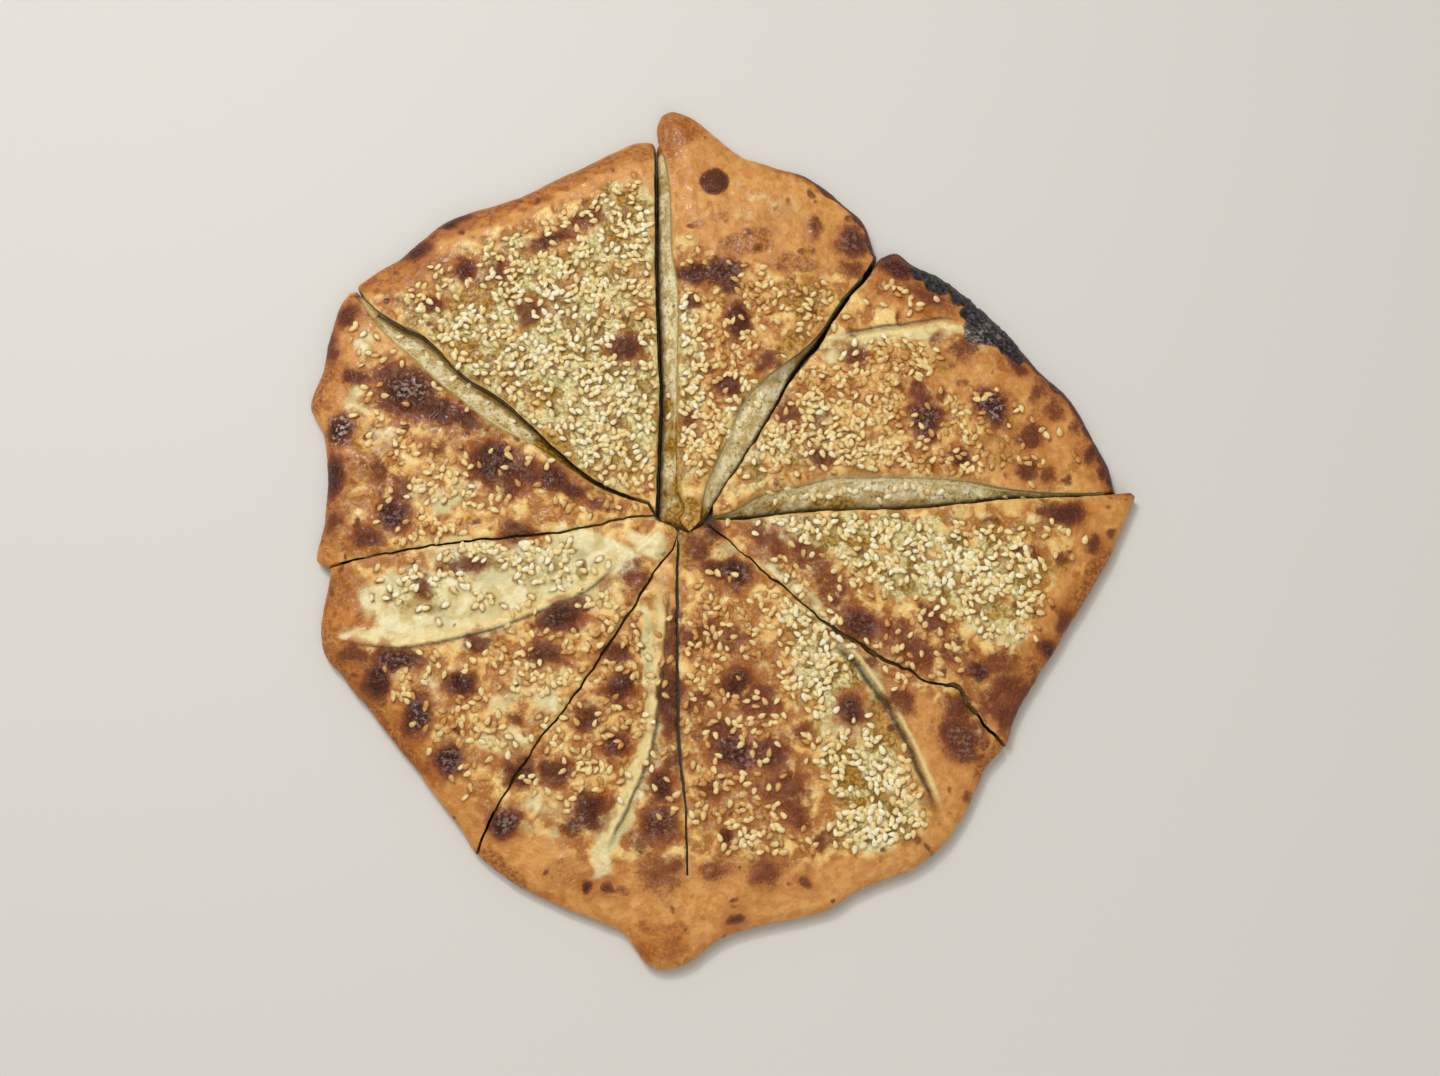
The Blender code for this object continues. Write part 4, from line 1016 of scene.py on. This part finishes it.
def filled_between(columns):
    """More columns where neighbours in the closed ring are far apart."""
    filled = []
    for a, b in zip(columns, np.roll(columns, -1, axis=0)):
        parts = max(1, round(np.linalg.norm(a - b, axis=1).max() / EDGE_STEP))
        t = (np.arange(parts) / parts)[:, None, None]
        filled.append(a + (b - a) * t)
    return np.concatenate(filled)


def spread_inside(loop, step, draw):
    """Places about a step apart inside a loop, row by row, clear of its edge."""
    ends = np.roll(loop, -1, axis=0)
    rows = []
    for number, y in enumerate(np.arange(loop[:, 1].min(), loop[:, 1].max(), step * math.sqrt(3) / 2)):
        crossing = (loop[:, 1] > y) != (ends[:, 1] > y)
        a, b = loop[crossing], ends[crossing]
        xs = np.sort(a[:, 0] + (y - a[:, 1]) / (b[:, 1] - a[:, 1]) * (b[:, 0] - a[:, 0]))
        shift = step / 2 if number % 2 else 0
        for left, right in zip(xs[::2], xs[1::2]):
            x = np.arange(math.ceil((left - shift) / step) * step + shift, right, step)
            rows.append(np.column_stack([x, np.full(len(x), y)]))
    places = np.concatenate(rows)
    places += draw.uniform(-PLACE_JITTER, PLACE_JITTER, places.shape) * step
    edge = KDTree(len(loop))
    for i, (x, y) in enumerate(loop):
        edge.insert((x, y, 0), i)
    edge.balance()
    clear = [edge.find((x, y, 0))[2] > PLACE_CLEAR * EDGE_STEP for x, y in places]
    return places[np.array(clear)]


def cap_faces(loop, inner, first_on_loop, first_inner):
    """Triangles over a loop and the places inside it, in the numbers that its mesh gives these points."""
    count = len(loop)
    places = [Vector(place) for place in np.concatenate([loop, inner])]
    corners, _, faces, origins, _, _ = delaunay_2d_cdt(places, [], [list(range(count))], 1, 1e-7)
    if len(corners) != len(places):
        print("cap_faces:", len(places) - len(corners), "places merged")
    numbers = [origin[0] for origin in origins]
    numbers = [first_on_loop + i if i < count else first_inner + i - count for i in numbers]
    return [[numbers[i] for i in face] for face in faces]


def solid_piece(name, piece, maps, draw):
    """The whole piece, crust and filling together, as one closed mesh."""
    levels, columns = profiles_of(piece)
    columns = columns[::-1]
    count = len(columns)
    heights = read_map(maps["height"], *columns[:, -1].T)
    solid = np.concatenate([columns, (levels[None, :] * heights[:, None])[:, :, None]], axis=2)
    steps = np.linalg.norm(np.diff(solid, axis=1), axis=2)
    reach = np.concatenate([np.zeros((count, 1)), np.cumsum(steps, axis=1)], axis=1)
    rows = int(np.clip(math.ceil(reach[:, -1].max() / WALL_STEP), FEWEST_WALL_ROWS, MOST_WALL_ROWS))
    wall = np.empty((rows + 1, count, 3))
    for i in range(count):
        at = np.linspace(0, reach[i, -1], rows + 1)
        for axis in range(3):
            wall[:, i, axis] = np.interp(at, reach[i], solid[i, :, axis])
    faces = []
    here = np.arange(count)
    following = np.roll(here, -1)
    for row in range(rows):
        low, high = row * count, (row + 1) * count
        faces += np.column_stack([low + here, low + following, high + following, high + here]).tolist()
    inner = spread_inside(wall[-1, :, :2], TOP_STEP, draw)
    under = spread_inside(wall[0, :, :2], UNDER_STEP, draw)
    first_inner = (rows + 1) * count
    faces += cap_faces(wall[-1, :, :2], inner, rows * count, first_inner)
    faces += [face[::-1] for face in cap_faces(wall[0, :, :2], under, 0, first_inner + len(inner))]
    verts = np.concatenate([
        wall.reshape(-1, 3),
        np.column_stack([inner, read_map(maps["height"], *inner.T)]),
        np.column_stack([under, np.zeros(len(under))]),
    ])
    return mesh_object(name, verts, faces)


def add_object(name, mesh):
    obj = bpy.data.objects.new(name, mesh)
    bpy.context.scene.collection.objects.link(obj)
    return obj


def mesh_object(name, points, faces):
    mesh = bpy.data.meshes.new(name)
    mesh.from_pydata((points * MM).tolist(), [], faces)
    mesh.update()
    return add_object(name, mesh)


def layer(name, inset, bottom, top):
    """A flat layer with the pie's outline, brought in from the rim."""
    moved = OUTLINE + sideways(OUTLINE) * inset
    deep = abs(to_line(moved[:, 0], moved[:, 1], CLOSED_OUTLINE)) > inset - LAYER_SLACK
    places = []
    for place in moved[deep]:
        if all(np.linalg.norm(place - other) > LAYER_STEP for other in places[-1:] + places[:1]):
            places.append(place)
    shape = bmesh.new()
    low, high = (
        [shape.verts.new((x * MM, y * MM, z * MM)) for x, y in places[::-1]] for z in (bottom, top)
    )
    for i in range(len(places)):
        j = (i + 1) % len(places)
        shape.faces.new((low[i], low[j], high[j], high[i]))
    shape.faces.new(high)
    shape.faces.new(low[::-1])
    bmesh.ops.triangulate(shape, faces=shape.faces[:])
    mesh = bpy.data.meshes.new(name)
    shape.to_mesh(mesh)
    shape.free()
    return add_object(name, mesh)


def apply_boolean(obj, operation, other):
    modifier = obj.modifiers.new(operation.lower(), "BOOLEAN")
    modifier.operation = operation
    modifier.solver = "MANIFOLD"
    modifier.object = other
    bpy.context.view_layer.update()
    result = bpy.data.meshes.new_from_object(obj.evaluated_get(bpy.context.evaluated_depsgraph_get()))
    obj.modifiers.remove(modifier)
    old = obj.data
    obj.data = result
    bpy.data.meshes.remove(old)


def point_vectors(mesh, what):
    """The place or the normal of each of a mesh's points."""
    flat = np.empty(len(mesh.vertices) * 3)
    mesh.vertices.foreach_get(what, flat)
    return flat.reshape(-1, 3)


def store(mesh, name, values):
    attribute = mesh.attributes.new(name, "FLOAT", "POINT")
    attribute.data.foreach_set("value", np.asarray(values, np.float32))


def paint_crust(mesh, maps):
    """Stores the crust's colours on its points, from the maps and from how each point faces."""
    x, y, z = (point_vectors(mesh, "co") / MM).T
    facing = point_vectors(mesh, "normal")[:, 2]
    depth = read_map(maps["height"], x, y) - z
    inner_wall = step_between(*WALL_FROM_RIM, read_map(maps["from_rim"], x, y))
    wall = step_between(*WALL_BELOW_TOP, depth) * inner_wall
    wall = np.maximum(wall, falls_between(*WALL_FACING, abs(facing)) * inner_wall)
    under = falls_between(*UNDER_HEIGHTS, z) * step_between(*UNDER_FACING, -facing)
    near_cut = falls_between(*CUT_EDGE_REACH, read_map(maps["from_cut"], x, y))
    for name in CRUST_FIELDS:
        store(mesh, name, read_map(maps[name], x, y) * (1 - wall))
    # The ground's lumps, and the painted shade on the walls of the narrow cuts
    for name in ("orange", "lump", "cut_wall_shade"):
        store(mesh, name, read_map(maps[name], x, y))
    store(mesh, "amber_wall", read_map(maps["amber"], x, y) * wall)
    # Painted shade at the foot of the gaps
    store(mesh, "gap", read_map(maps["gap"], x, y) * wall * step_between(*GAP_BELOW_TOP, depth))
    store(mesh, "dough", wall * (1 - under))
    store(mesh, "under", under)
    # The low outer edge of the rim, browner from toasting and with painted shade
    store(mesh, "foot", falls_between(*FOOT_TOAST_AND_SHADE_HEIGHTS, z) * (1 - inner_wall))
    store(mesh, "cut_edge", near_cut * (1 - wall) * inner_wall)
    shaded = step_between(*LIP_SHADE_FROM, depth) * falls_between(*LIP_SHADE_TO, depth)
    # Painted shadow just under the crust's lip
    store(mesh, "shade_under_lip", wall * shaded)
    # How deep under the top, which sets painted shade low on the cut walls
    store(mesh, "depth", np.clip(depth / PLATEAU, 0, 1))


def roughen_filling(mesh, maps):
    """Makes the mash lumpy where it shows, leaves its flat layers alone, and stores its colours."""
    places, out = point_vectors(mesh, "co") / MM, point_vectors(mesh, "normal")
    x, y, z = places.T
    flat = np.linalg.norm(out[:, :2], axis=1)
    level = np.minimum(z - BOTTOM_CRUST, FILLING_TOP - z)
    free = step_between(*FILLING_FREE_LEVEL, level) * step_between(*FILLING_FREE_FACING, flat)
    lumps = 0.5 * rough_noise(x + z, y - z, 4.0, 111) + 0.25 * noise(x - z, y + z, 1.5, 115)
    move = free * (0.12 + 0.5 * step_between(*FILLING_LEAN, out[:, 2])) * lumps
    mesh.vertices.foreach_set("co", ((places + out * move[:, None]) * MM).ravel())
    mesh.update()
    store(mesh, "amber", read_map(maps["amber"], x, y))
    # Painted shade at the foot of the gaps
    store(mesh, "gap", read_map(maps["gap"], x, y) * falls_between(*FILLING_GAP_HEIGHTS, z))
    store(mesh, "height", (z - BOTTOM_CRUST) / (FILLING_TOP - BOTTOM_CRUST))


def seed_places(maps):
    """Where the seeds lie: in clusters where the pie is thickly strewn, and apart where it isn't."""
    draw = np.random.default_rng(SEED_PLACES_DRAW)
    x = draw.uniform(MAP_X[0], MAP_X[-1], SEED_TRIES)
    y = draw.uniform(MAP_Y[0], MAP_Y[-1], SEED_TRIES)
    chance = draw.uniform(size=SEED_TRIES)
    closest = CLOSEST_SEEDS * draw.uniform(*CLOSEST_SPREAD, SEED_TRIES)
    tries_per_area = SEED_TRIES / ((MAP_X[-1] - MAP_X[0]) * (MAP_Y[-1] - MAP_Y[0]))
    wanted = read_map(maps["strewn"], x, y) * MOST_SEEDS / tries_per_area
    taken, places = {}, []
    for i in np.flatnonzero((chance < wanted) & inside_any_top(maps, x, y)):
        column, row = int(x[i] // SEED_CELL), int(y[i] // SEED_CELL)
        cells = [(column + c, row + r) for c in (-1, 0, 1) for r in (-1, 0, 1)]
        near = [other for cell in cells for other in taken.get(cell, [])]
        if all((x[i] - a) ** 2 + (y[i] - b) ** 2 > closest[i] ** 2 for a, b in near):
            taken.setdefault((column, row), []).append((x[i], y[i]))
            places.append((x[i], y[i]))
    return np.array(places)


def face_seed_places(draw):
    """A few seeds that lie on the sloped cut faces."""
    places = []
    for x, y, half_length, half_width, turn, count in FACE_SEEDS:
        for k in range(count):
            along = half_length * (2 * (k + draw.uniform(0.1, 0.9)) / count - 1)
            across = half_width * draw.uniform(-1, 1)
            dx, dy = turned(along, across, -math.radians(turn))
            places.append((x + dx, y + dy))
    return np.array(places)


def inside_any_top(maps, x, y):
    """Whether each place is on some piece's top, clear of its edges."""
    found = np.zeros(len(x), bool)
    for loop in maps["loops"]:
        crossed = np.zeros(len(x), bool)
        for (ax, ay), (bx, by) in zip(loop[::2], np.roll(loop[::2], -1, axis=0)):
            if ay != by:
                crossed ^= ((ay > y) != (by > y)) & (x < ax + (bx - ax) * (y - ay) / (by - ay))
        found |= crossed
    return found & (read_map(maps["from_cut"], x, y) > SEEDS_FROM_CUT)


def glaze_seeds(maps, places, turns):
    """Lays a darker ring round each seed, pooled glaze with painted shade in it, and a small rise that holds
    it.
    """
    ring, rise = np.zeros(GRID_X.shape), np.zeros(GRID_X.shape)
    for (x, y), turn in zip(places, turns):
        area = window(x, y, GLAZE_REACH)
        along, across = turned(GRID_X[area] - x, GRID_Y[area] - y, turn)
        r = np.hypot(along / (SEED_LENGTH / 2), across / (SEED_WIDTH / 2))
        ring[area] = np.maximum(ring[area], falls_between(0.95, 1.7, r))
        rise[area] = np.maximum(rise[area], GLAZE_RISE * falls_between(0.7, 1.6, r))
    maps["ring"] = ring
    maps["height"] += rise


def seed_shape():
    """One seed's points and faces, a flat drop that points along +X, in millimetres."""
    shape = bmesh.new()
    bmesh.ops.create_uvsphere(shape, u_segments=SEED_SIDES, v_segments=SEED_RINGS, radius=0.5)
    bmesh.ops.triangulate(shape, faces=shape.faces[:])
    points = np.array([vert.co for vert in shape.verts])
    faces = np.array(sorted([vert.index for vert in face.verts] for face in shape.faces))
    shape.free()
    narrower = 1 - SEED_TAPER * points[:, 0] / 0.5
    points *= np.array([SEED_LENGTH, SEED_WIDTH, SEED_HEIGHT])
    points[:, 1] *= narrower
    points[:, 2] *= 0.5 + 0.5 * narrower
    return points, faces


def lay_seeds(name, places, turns, fair, grounds, draw):
    """All the seeds as one mesh. Each lies along the surface that its ray from above meets."""
    points, faces = seed_shape()
    all_points, all_faces, toasts, tips = [], [], [], []
    for (x, y), turn, fairness in zip(places, turns, fair):
        origin = Vector((x * MM, y * MM, 1))
        hits = [ground.ray_cast(origin, Vector((0, 0, -1))) for ground in grounds]
        hits = [hit for hit in hits if hit[0] is not None]
        tilt_x, tilt_y = draw.normal(0, SEED_TILT, 2)
        size, lift = draw.normal(1, SEED_SIZE_SPREAD), draw.uniform(*SEED_LIFT)
        toast = 0.6 * draw.uniform() ** 1.3 + 0.5 * (1 - fairness)
        if not hits:
            continue
        place, normal = max(hits, key=lambda found: found[0].z)[:2]
        up = Vector((normal.x + tilt_x, normal.y + tilt_y, max(normal.z, SEED_LEAST_UP))).normalized()
        along = Vector((math.cos(turn), math.sin(turn), 0))
        along = (along - up * along.dot(up)).normalized()
        frame = np.array([along, up.cross(along), up])
        middle = np.array(place) / MM + np.array(up) * (SEED_HEIGHT * SEED_RAISED + lift)
        laid = points * size @ frame + middle
        laid[:, 2] -= max(0, laid[:, 2].max() - HIGHEST)
        all_faces.append(faces + len(all_points) * len(points))
        all_points.append(laid)
        toasts.append(np.full(len(points), toast))
        tips.append(points[:, 0] / SEED_LENGTH + 0.5)
    seeds = mesh_object(name, np.concatenate(all_points), np.concatenate(all_faces).tolist())
    seeds.data.shade_smooth()
    store(seeds.data, "toast", np.concatenate(toasts))
    store(seeds.data, "tip", np.concatenate(tips))
    print(name, len(all_points), "seeds", len(seeds.data.polygons), "triangles")
    return seeds


def linear(red, green, blue):
    """A colour from its screen values, 0 to 255, as a shader takes it."""
    shares = [value / 255 for value in (red, green, blue)]
    return (*[s / 12.92 if s <= 0.04045 else ((s + 0.055) / 1.055) ** 2.4 for s in shares], 1.0)


class Shader:
    """A material's node tree, with a short call for each kind of node that is used here.

    The calls that take a name read the values that are stored on the mesh under it. The colour is built
    up in layers, and a colour of three numbers holds screen values.
    """

    def __init__(self, name):
        self.material = bpy.data.materials.new(name)
        self.material.use_nodes = True
        self.tree = self.material.node_tree
        self.surface = self.tree.nodes["Principled BSDF"]
        self.where = self.tree.nodes.new("ShaderNodeTexCoord").outputs["Object"]
        self.colour = None

    def connect(self, value, socket):
        if isinstance(value, bpy.types.NodeSocket):
            self.tree.links.new(value, socket)
        elif isinstance(value, tuple) and len(value) == 3:
            socket.default_value = linear(*value)
        else:
            socket.default_value = value

    def attribute(self, name):
        node = self.tree.nodes.new("ShaderNodeAttribute")
        node.attribute_name = name
        return node.outputs["Fac"]

    def noise(self, size, detail=2.0, roughness=0.5):
        """Noise from 0 to 1, with features about size millimetres across."""
        node = self.tree.nodes.new("ShaderNodeTexNoise")
        node.inputs["Scale"].default_value = 1 / (size * MM)
        node.inputs["Detail"].default_value = detail
        node.inputs["Roughness"].default_value = roughness
        self.tree.links.new(self.where, node.inputs["Vector"])
        return node.outputs["Fac"]

    def maths(self, operation, a, b):
        node = self.tree.nodes.new("ShaderNodeMath")
        node.operation = operation
        self.connect(a, node.inputs[0])
        self.connect(b, node.inputs[1])
        return node.outputs[0]

    def times(self, a, b):
        return self.maths("MULTIPLY", a, b)

    def share(self, name, amount):
        return self.times(self.attribute(name), amount)

    def uneven(self, grain, amount):
        """Noise about 0."""
        return self.times(self.maths("SUBTRACT", grain, 0.5), amount)

    def range(self, value, low, high, to_low=0.0, to_high=1.0):
        node = self.tree.nodes.new("ShaderNodeMapRange")
        node.interpolation_type = "SMOOTHSTEP"
        for socket, number in zip(("From Min", "From Max", "To Min", "To Max"), (low, high, to_low, to_high)):
            node.inputs[socket].default_value = number
        self.connect(value, node.inputs["Value"])
        return node.outputs["Result"]

    def frayed(self, name, grain, amount):
        """A soft mask with its edge broken up by noise."""
        return self.range(self.maths("ADD", self.attribute(name), self.uneven(grain, amount)), 0.25, 0.75)

    def mix(self, share, a, b, blend="MIX"):
        node = self.tree.nodes.new("ShaderNodeMix")
        node.data_type = "RGBA"
        node.blend_type = blend
        for value, socket in ((share, 0), (a, 6), (b, 7)):
            self.connect(value, node.inputs[socket])
        return node.outputs[2]

    def tones(self, grain, first, second, low=0.4, high=0.6):
        """Two colours that take turns with the grain."""
        return self.mix(self.range(grain, low, high), first, second)

    def paint(self, mask, colour, blend="MIX"):
        """Lays a colour over what is there, where the mask is high."""
        self.colour = self.mix(mask, self.colour, colour, blend)

    def bump(self, height, distance, strength=1.0, below=None):
        node = self.tree.nodes.new("ShaderNodeBump")
        node.inputs["Distance"].default_value = distance * MM
        node.inputs["Strength"].default_value = strength
        self.connect(height, node.inputs["Height"])
        if below:
            self.connect(below, node.inputs["Normal"])
        return node.outputs["Normal"]

    def finish(self, roughness, normal=None, uniform=()):
        """Connects the surface, and sets those of its numbers that are the same all over."""
        self.connect(self.colour, self.surface.inputs["Base Color"])
        self.connect(roughness, self.surface.inputs["Roughness"])
        if normal:
            self.connect(normal, self.surface.inputs["Normal"])
        for socket, number in uniform:
            self.surface.inputs[socket].default_value = number
        return self.material


def crust_material():
    shader = Shader("baked_crust_look")
    paint, tones, ramp, frayed, share = shader.paint, shader.tones, shader.range, shader.frayed, shader.share
    broad = shader.noise(12, 2.0)
    patches = shader.noise(6.5, 3.0, 0.6)
    medium = shader.noise(3.4, 3.0, 0.65)
    fine = shader.noise(1.1, 3.0, 0.6)
    grain = shader.noise(0.45, 2.0, 0.6)
    lump = shader.attribute("lump")
    spots = shader.attribute("dark")

    # Golden ground, from amber in the hollows to yellow on the lumps: partly real browning, partly painted
    # shade in the hollows and a painted highlight on the lumps
    shader.colour = tones(lump, (178, 114, 42), (234, 184, 104), 0.28, 0.62)
    # Painted highlight on the tops of the lumps
    paint(ramp(lump, 0.6, 0.9, 0, 0.85), (250, 220, 150))
    paint(ramp(medium, 0.52, 0.62, 0, 0.55), (186, 116, 46))
    paint(ramp(fine, 0.44, 0.34, 0, 0.4), (254, 232, 170))
    warm = tones(medium, (208, 142, 72), (228, 166, 94))
    paint(frayed("orange", patches, 0.8), shader.mix(ramp(broad, 0.5, 0.62, 0, 0.45), warm, (192, 124, 54)))
    paint(frayed("rusty", patches, 1.0), tones(medium, (164, 92, 24), (202, 132, 52)))
    cream = tones(lump, (222, 202, 140), (246, 236, 196), 0.2, 0.7)
    paint(frayed("pale", patches, 0.9), shader.mix(ramp(broad, 0.48, 0.6, 0, 0.7), cream, (208, 202, 152)))

    # Greenish ground where the seeds lie thickly
    grey = tones(fine, (190, 174, 104), (240, 232, 184))
    dim = tones(fine, (126, 92, 20), (190, 154, 70))
    paint(frayed("green", patches, 1.0), tones(lump, dim, grey, 0.38, 0.6))
    mustard = tones(fine, (136, 92, 10), (198, 150, 50))
    paint(frayed("amber", medium, 0.8), mustard)
    # Glaze pooled round the seeds, with painted shade round them
    glaze_and_shade = shader.mix(shader.attribute("green"), (138, 80, 20), (116, 84, 20))
    paint(share("ring", ramp(medium, 0.42, 0.58, 0.0, 0.85)), glaze_and_shade)

    # Browning
    brown = tones(fine, (124, 62, 14), (194, 126, 60), 0.38, 0.62)
    paint(shader.times(frayed("stain", medium, 1.3), 0.8), brown)
    paint(share("lip", 0.9), (246, 226, 168))
    paint(share("cut_edge", 0.3), (228, 196, 128))
    paint(shader.times(frayed("near_dark", medium, 1.2), 0.7), (172, 100, 36))
    uneven = shader.maths("ADD", shader.uneven(medium, 1.1), shader.uneven(fine, 0.5))
    dark = shader.maths("ADD", spots, shader.times(uneven, ramp(spots, 0.0, 0.3)))
    paint(ramp(dark, 0.02, 0.55, 0, 0.85), (128, 60, 16))
    purple = tones(medium, (32, 2, 0), (96, 38, 14))
    purple = shader.mix(ramp(fine, 0.52, 0.64, 0, 0.7), purple, (140, 80, 52))
    paint(ramp(dark, 0.36, 1.0), purple)
    paint(frayed("black", fine, 0.9), tones(fine, (6, 4, 5), (58, 54, 60), 0.4, 0.62))
    # Painted highlights: pale flecks on the places that shine
    painted_glint_flecks = ramp(shader.noise(1.5, 2.0, 0.6), 0.5, 0.6)
    paint(shader.times(share("painted_glint", painted_glint_flecks), 0.6), (214, 190, 190))
    # Painted shadow in the flaps' creases, dark olive like the filling under the lip
    paint(shader.attribute("crease_shade"), (66, 46, 8))
    # Browner, with painted shade, at the low outer edge of the rim
    paint(share("foot", 0.8), tones(medium, (120, 64, 16), (168, 104, 38)))

    # Cut walls and underside
    crumb = tones(fine, (228, 208, 152), (252, 242, 204))
    for mask, colour in (
        # Painted shade low down on the cut walls, deep in the gaps
        (ramp(shader.attribute("depth"), 0.78, 0.92, 0, 0.95), (58, 34, 10)),
        (frayed("amber_wall", medium, 0.8), mustard),
        # Painted shade on the walls of the narrow cuts
        (shader.attribute("cut_wall_shade"), (52, 30, 12)),
        # Painted shadow just under the crust's lip
        (share("shade_under_lip", 0.7), (88, 66, 20)),
        # Painted shade at the foot of the gaps
        (share("gap", 0.9), (44, 26, 8)),
    ):
        crumb = shader.mix(mask, crumb, colour)
    paint(shader.attribute("dough"), crumb)
    paint(shader.attribute("under"), tones(patches, (206, 158, 96), (128, 74, 36)))
    paint(1.0, (1.0, 0.96, 0.83, 1), "MULTIPLY")
    normal = shader.bump(medium, 0.8, 0.8)
    normal = shader.bump(fine, 0.35, 0.85, normal)
    normal = shader.bump(grain, 0.14, 0.7, normal)
    normal = shader.bump(shader.times(fine, spots), 1.3, 1.0, normal)
    roughness = shader.maths("SUBTRACT", ramp(medium, 0.4, 0.6, 0.28, 0.48), shader.times(spots, 0.08))
    uniform = [("Specular IOR Level", 0.35), ("Coat Weight", 0.13), ("Coat Roughness", 0.12)]
    return shader.finish(roughness, normal, uniform)


def filling_material():
    shader = Shader("potato_filling_look")
    paint, tones, ramp = shader.paint, shader.tones, shader.range
    medium = shader.noise(4.5, 3.0, 0.6)
    fine = shader.noise(1.3, 3.0, 0.6)
    specks = shader.noise(1.7, 1.0)
    patches = shader.noise(7, 2.0, 0.6)
    height = shader.attribute("height")
    shader.colour = tones(medium, (206, 182, 120), (250, 240, 204), 0.42, 0.58)
    paint(ramp(patches, 0.52, 0.6, 0, 0.5), (204, 190, 152))
    paint(ramp(fine, 0.54, 0.62, 0, 0.55), (166, 132, 60))
    paint(ramp(fine, 0.42, 0.34, 0, 0.8), (252, 244, 214))
    paint(shader.frayed("amber", medium, 0.8), tones(fine, (136, 96, 16), (196, 156, 66)))
    # Olive and darker towards the bottom of the filling, with painted shade on its lowest band, deep in the
    # gaps
    paint(ramp(height, 0.1, 0.5, 0.75, 0.0), tones(fine, (124, 92, 24), (196, 164, 92)))
    paint(ramp(height, 0.03, 0.14, 0.9, 0.0), (66, 42, 12))
    paint(ramp(specks, 0.64, 0.7, 0, 0.7), (104, 86, 34))
    # Painted shade at the foot of the gaps
    paint(shader.share("gap", 0.9), (44, 26, 8))
    paint(1.0, (0.96, 0.93, 0.84, 1), "MULTIPLY")
    return shader.finish(0.45, shader.bump(fine, 0.4, 0.8), [("Coat Weight", 0.15)])


def seed_material():
    shader = Shader("sesame_seed_look")
    paint, ramp = shader.paint, shader.range
    grain = shader.noise(0.8, 2.0)
    toast = shader.attribute("toast")
    shader.colour = shader.tones(toast, (255, 250, 222), (248, 224, 162), 0.0, 0.5)
    paint(ramp(toast, 0.5, 1.0), (206, 148, 74))
    paint(ramp(shader.attribute("tip"), 0.7, 1.0, 0, 0.5), (196, 142, 70))
    paint(ramp(grain, 0.45, 0.75, 0, 0.3), (208, 160, 88))
    paint(1.0, (1.0, 0.98, 0.88, 1), "MULTIPLY")
    uniform = [("Coat Weight", 0.2), ("Coat Roughness", 0.15)]
    return shader.finish(0.4, shader.bump(grain, 0.06, 0.5), uniform)


def dress_piece(obj, material, node):
    obj.data.materials.clear()
    obj.data.materials.append(material)
    obj.data.shade_smooth()
    obj.data.set_sharp_from_angle(angle=SHARP_ANGLE)
    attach(obj, "root")
    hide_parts(node)


def build_pieces(maps):
    """Crust and filling of every piece, cut from one closed mesh each."""
    baked, mash = crust_material(), filling_material()
    filled = layer("filling_layer", FILLED_FROM_RIM, BOTTOM_CRUST, FILLING_TOP)
    lowest, highest = BOTTOM_CRUST - ROOM_ROUND_FILLING, FILLING_TOP + ROOM_ROUND_FILLING
    room = layer("room_for_filling", FILLED_FROM_RIM - ROOM_ROUND_FILLING, lowest, highest)
    pieces = []
    for number, piece in enumerate(PIECES):
        draw = np.random.default_rng(FIRST_PIECE_DRAW + number)
        crust = solid_piece("dressed_crust_" + piece, piece, maps, draw)
        filling = add_object("dressed_filling_" + piece, crust.data.copy())
        apply_boolean(crust, "DIFFERENCE", room)
        apply_boolean(filling, "INTERSECT", filled)
        roughen_filling(filling.data, maps)
        paint_crust(crust.data, maps)
        pieces.append((piece, crust, filling))
    for cutter in (filled, room):
        bpy.data.objects.remove(cutter)
    for piece, crust, filling in pieces:
        dress_piece(crust, baked, "crust_" + piece)
        dress_piece(filling, mash, "filling_" + piece)
    return [obj for _, crust, filling in pieces for obj in (crust, filling)]


def floor_and_light():
    bpy.ops.mesh.primitive_plane_add(size=FLOOR_SIZE, location=(0, 0, FLOOR_Z))
    floor = bpy.context.object
    floor.name = "pale_floor"
    shader = Shader("pale_floor_look")
    shader.colour = (222, 219, 212)
    floor.data.materials.append(shader.finish(0.6))
    world = bpy.data.worlds.new("soft_studio")
    world.use_nodes = True
    world.node_tree.nodes["Background"].inputs["Color"].default_value = WORLD_COLOUR
    world.node_tree.nodes["Background"].inputs["Strength"].default_value = WORLD_STRENGTH
    bpy.context.scene.world = world
    for name, place, size, power in LIGHTS:
        light = bpy.data.lights.new(name, "AREA")
        light.size = size
        light.energy = power
        lamp = add_object(name, light)
        lamp.location = place
        lamp.rotation_euler = (-Vector(place)).to_track_quat("-Z", "Y").to_euler()


def place_camera():
    camera = bpy.data.cameras.new("camera")
    camera.lens = LENS
    camera.sensor_width = SENSOR
    camera.clip_end = 10
    holder = add_object("camera", camera)
    away = Vector((0, -math.cos(ELEVATION), math.sin(ELEVATION))) * CAMERA_AWAY
    holder.location = (TARGET + away) * MM
    holder.rotation_euler = (math.pi / 2 - ELEVATION, 0, 0)
    bpy.context.scene.camera = holder


def build_scene():
    for obj in list(bpy.data.objects):
        bpy.data.objects.remove(obj)
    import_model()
    bpy.context.scene.view_settings.view_transform = "Standard"
    maps = make_maps()
    draw = np.random.default_rng(SEED_LAYING_DRAW)
    places = np.concatenate([seed_places(maps), face_seed_places(draw)])
    turns = draw.uniform(0, 2 * math.pi, len(places))
    glaze_seeds(maps, places, turns)
    pieces = build_pieces(maps)
    graph = bpy.context.evaluated_depsgraph_get()
    grounds = [BVHTree.FromObject(obj, graph) for obj in pieces]
    fair = np.clip(read_map(maps["green"], *places.T) + read_map(maps["pale"], *places.T), 0, 1)
    fair[-sum(spot[-1] for spot in FACE_SEEDS):] = 1
    seeds = lay_seeds("sesame_seeds", places, turns, fair, grounds, draw)
    seeds.data.materials.append(seed_material())
    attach(seeds, "root")
    floor_and_light()
    place_camera()


build_scene()
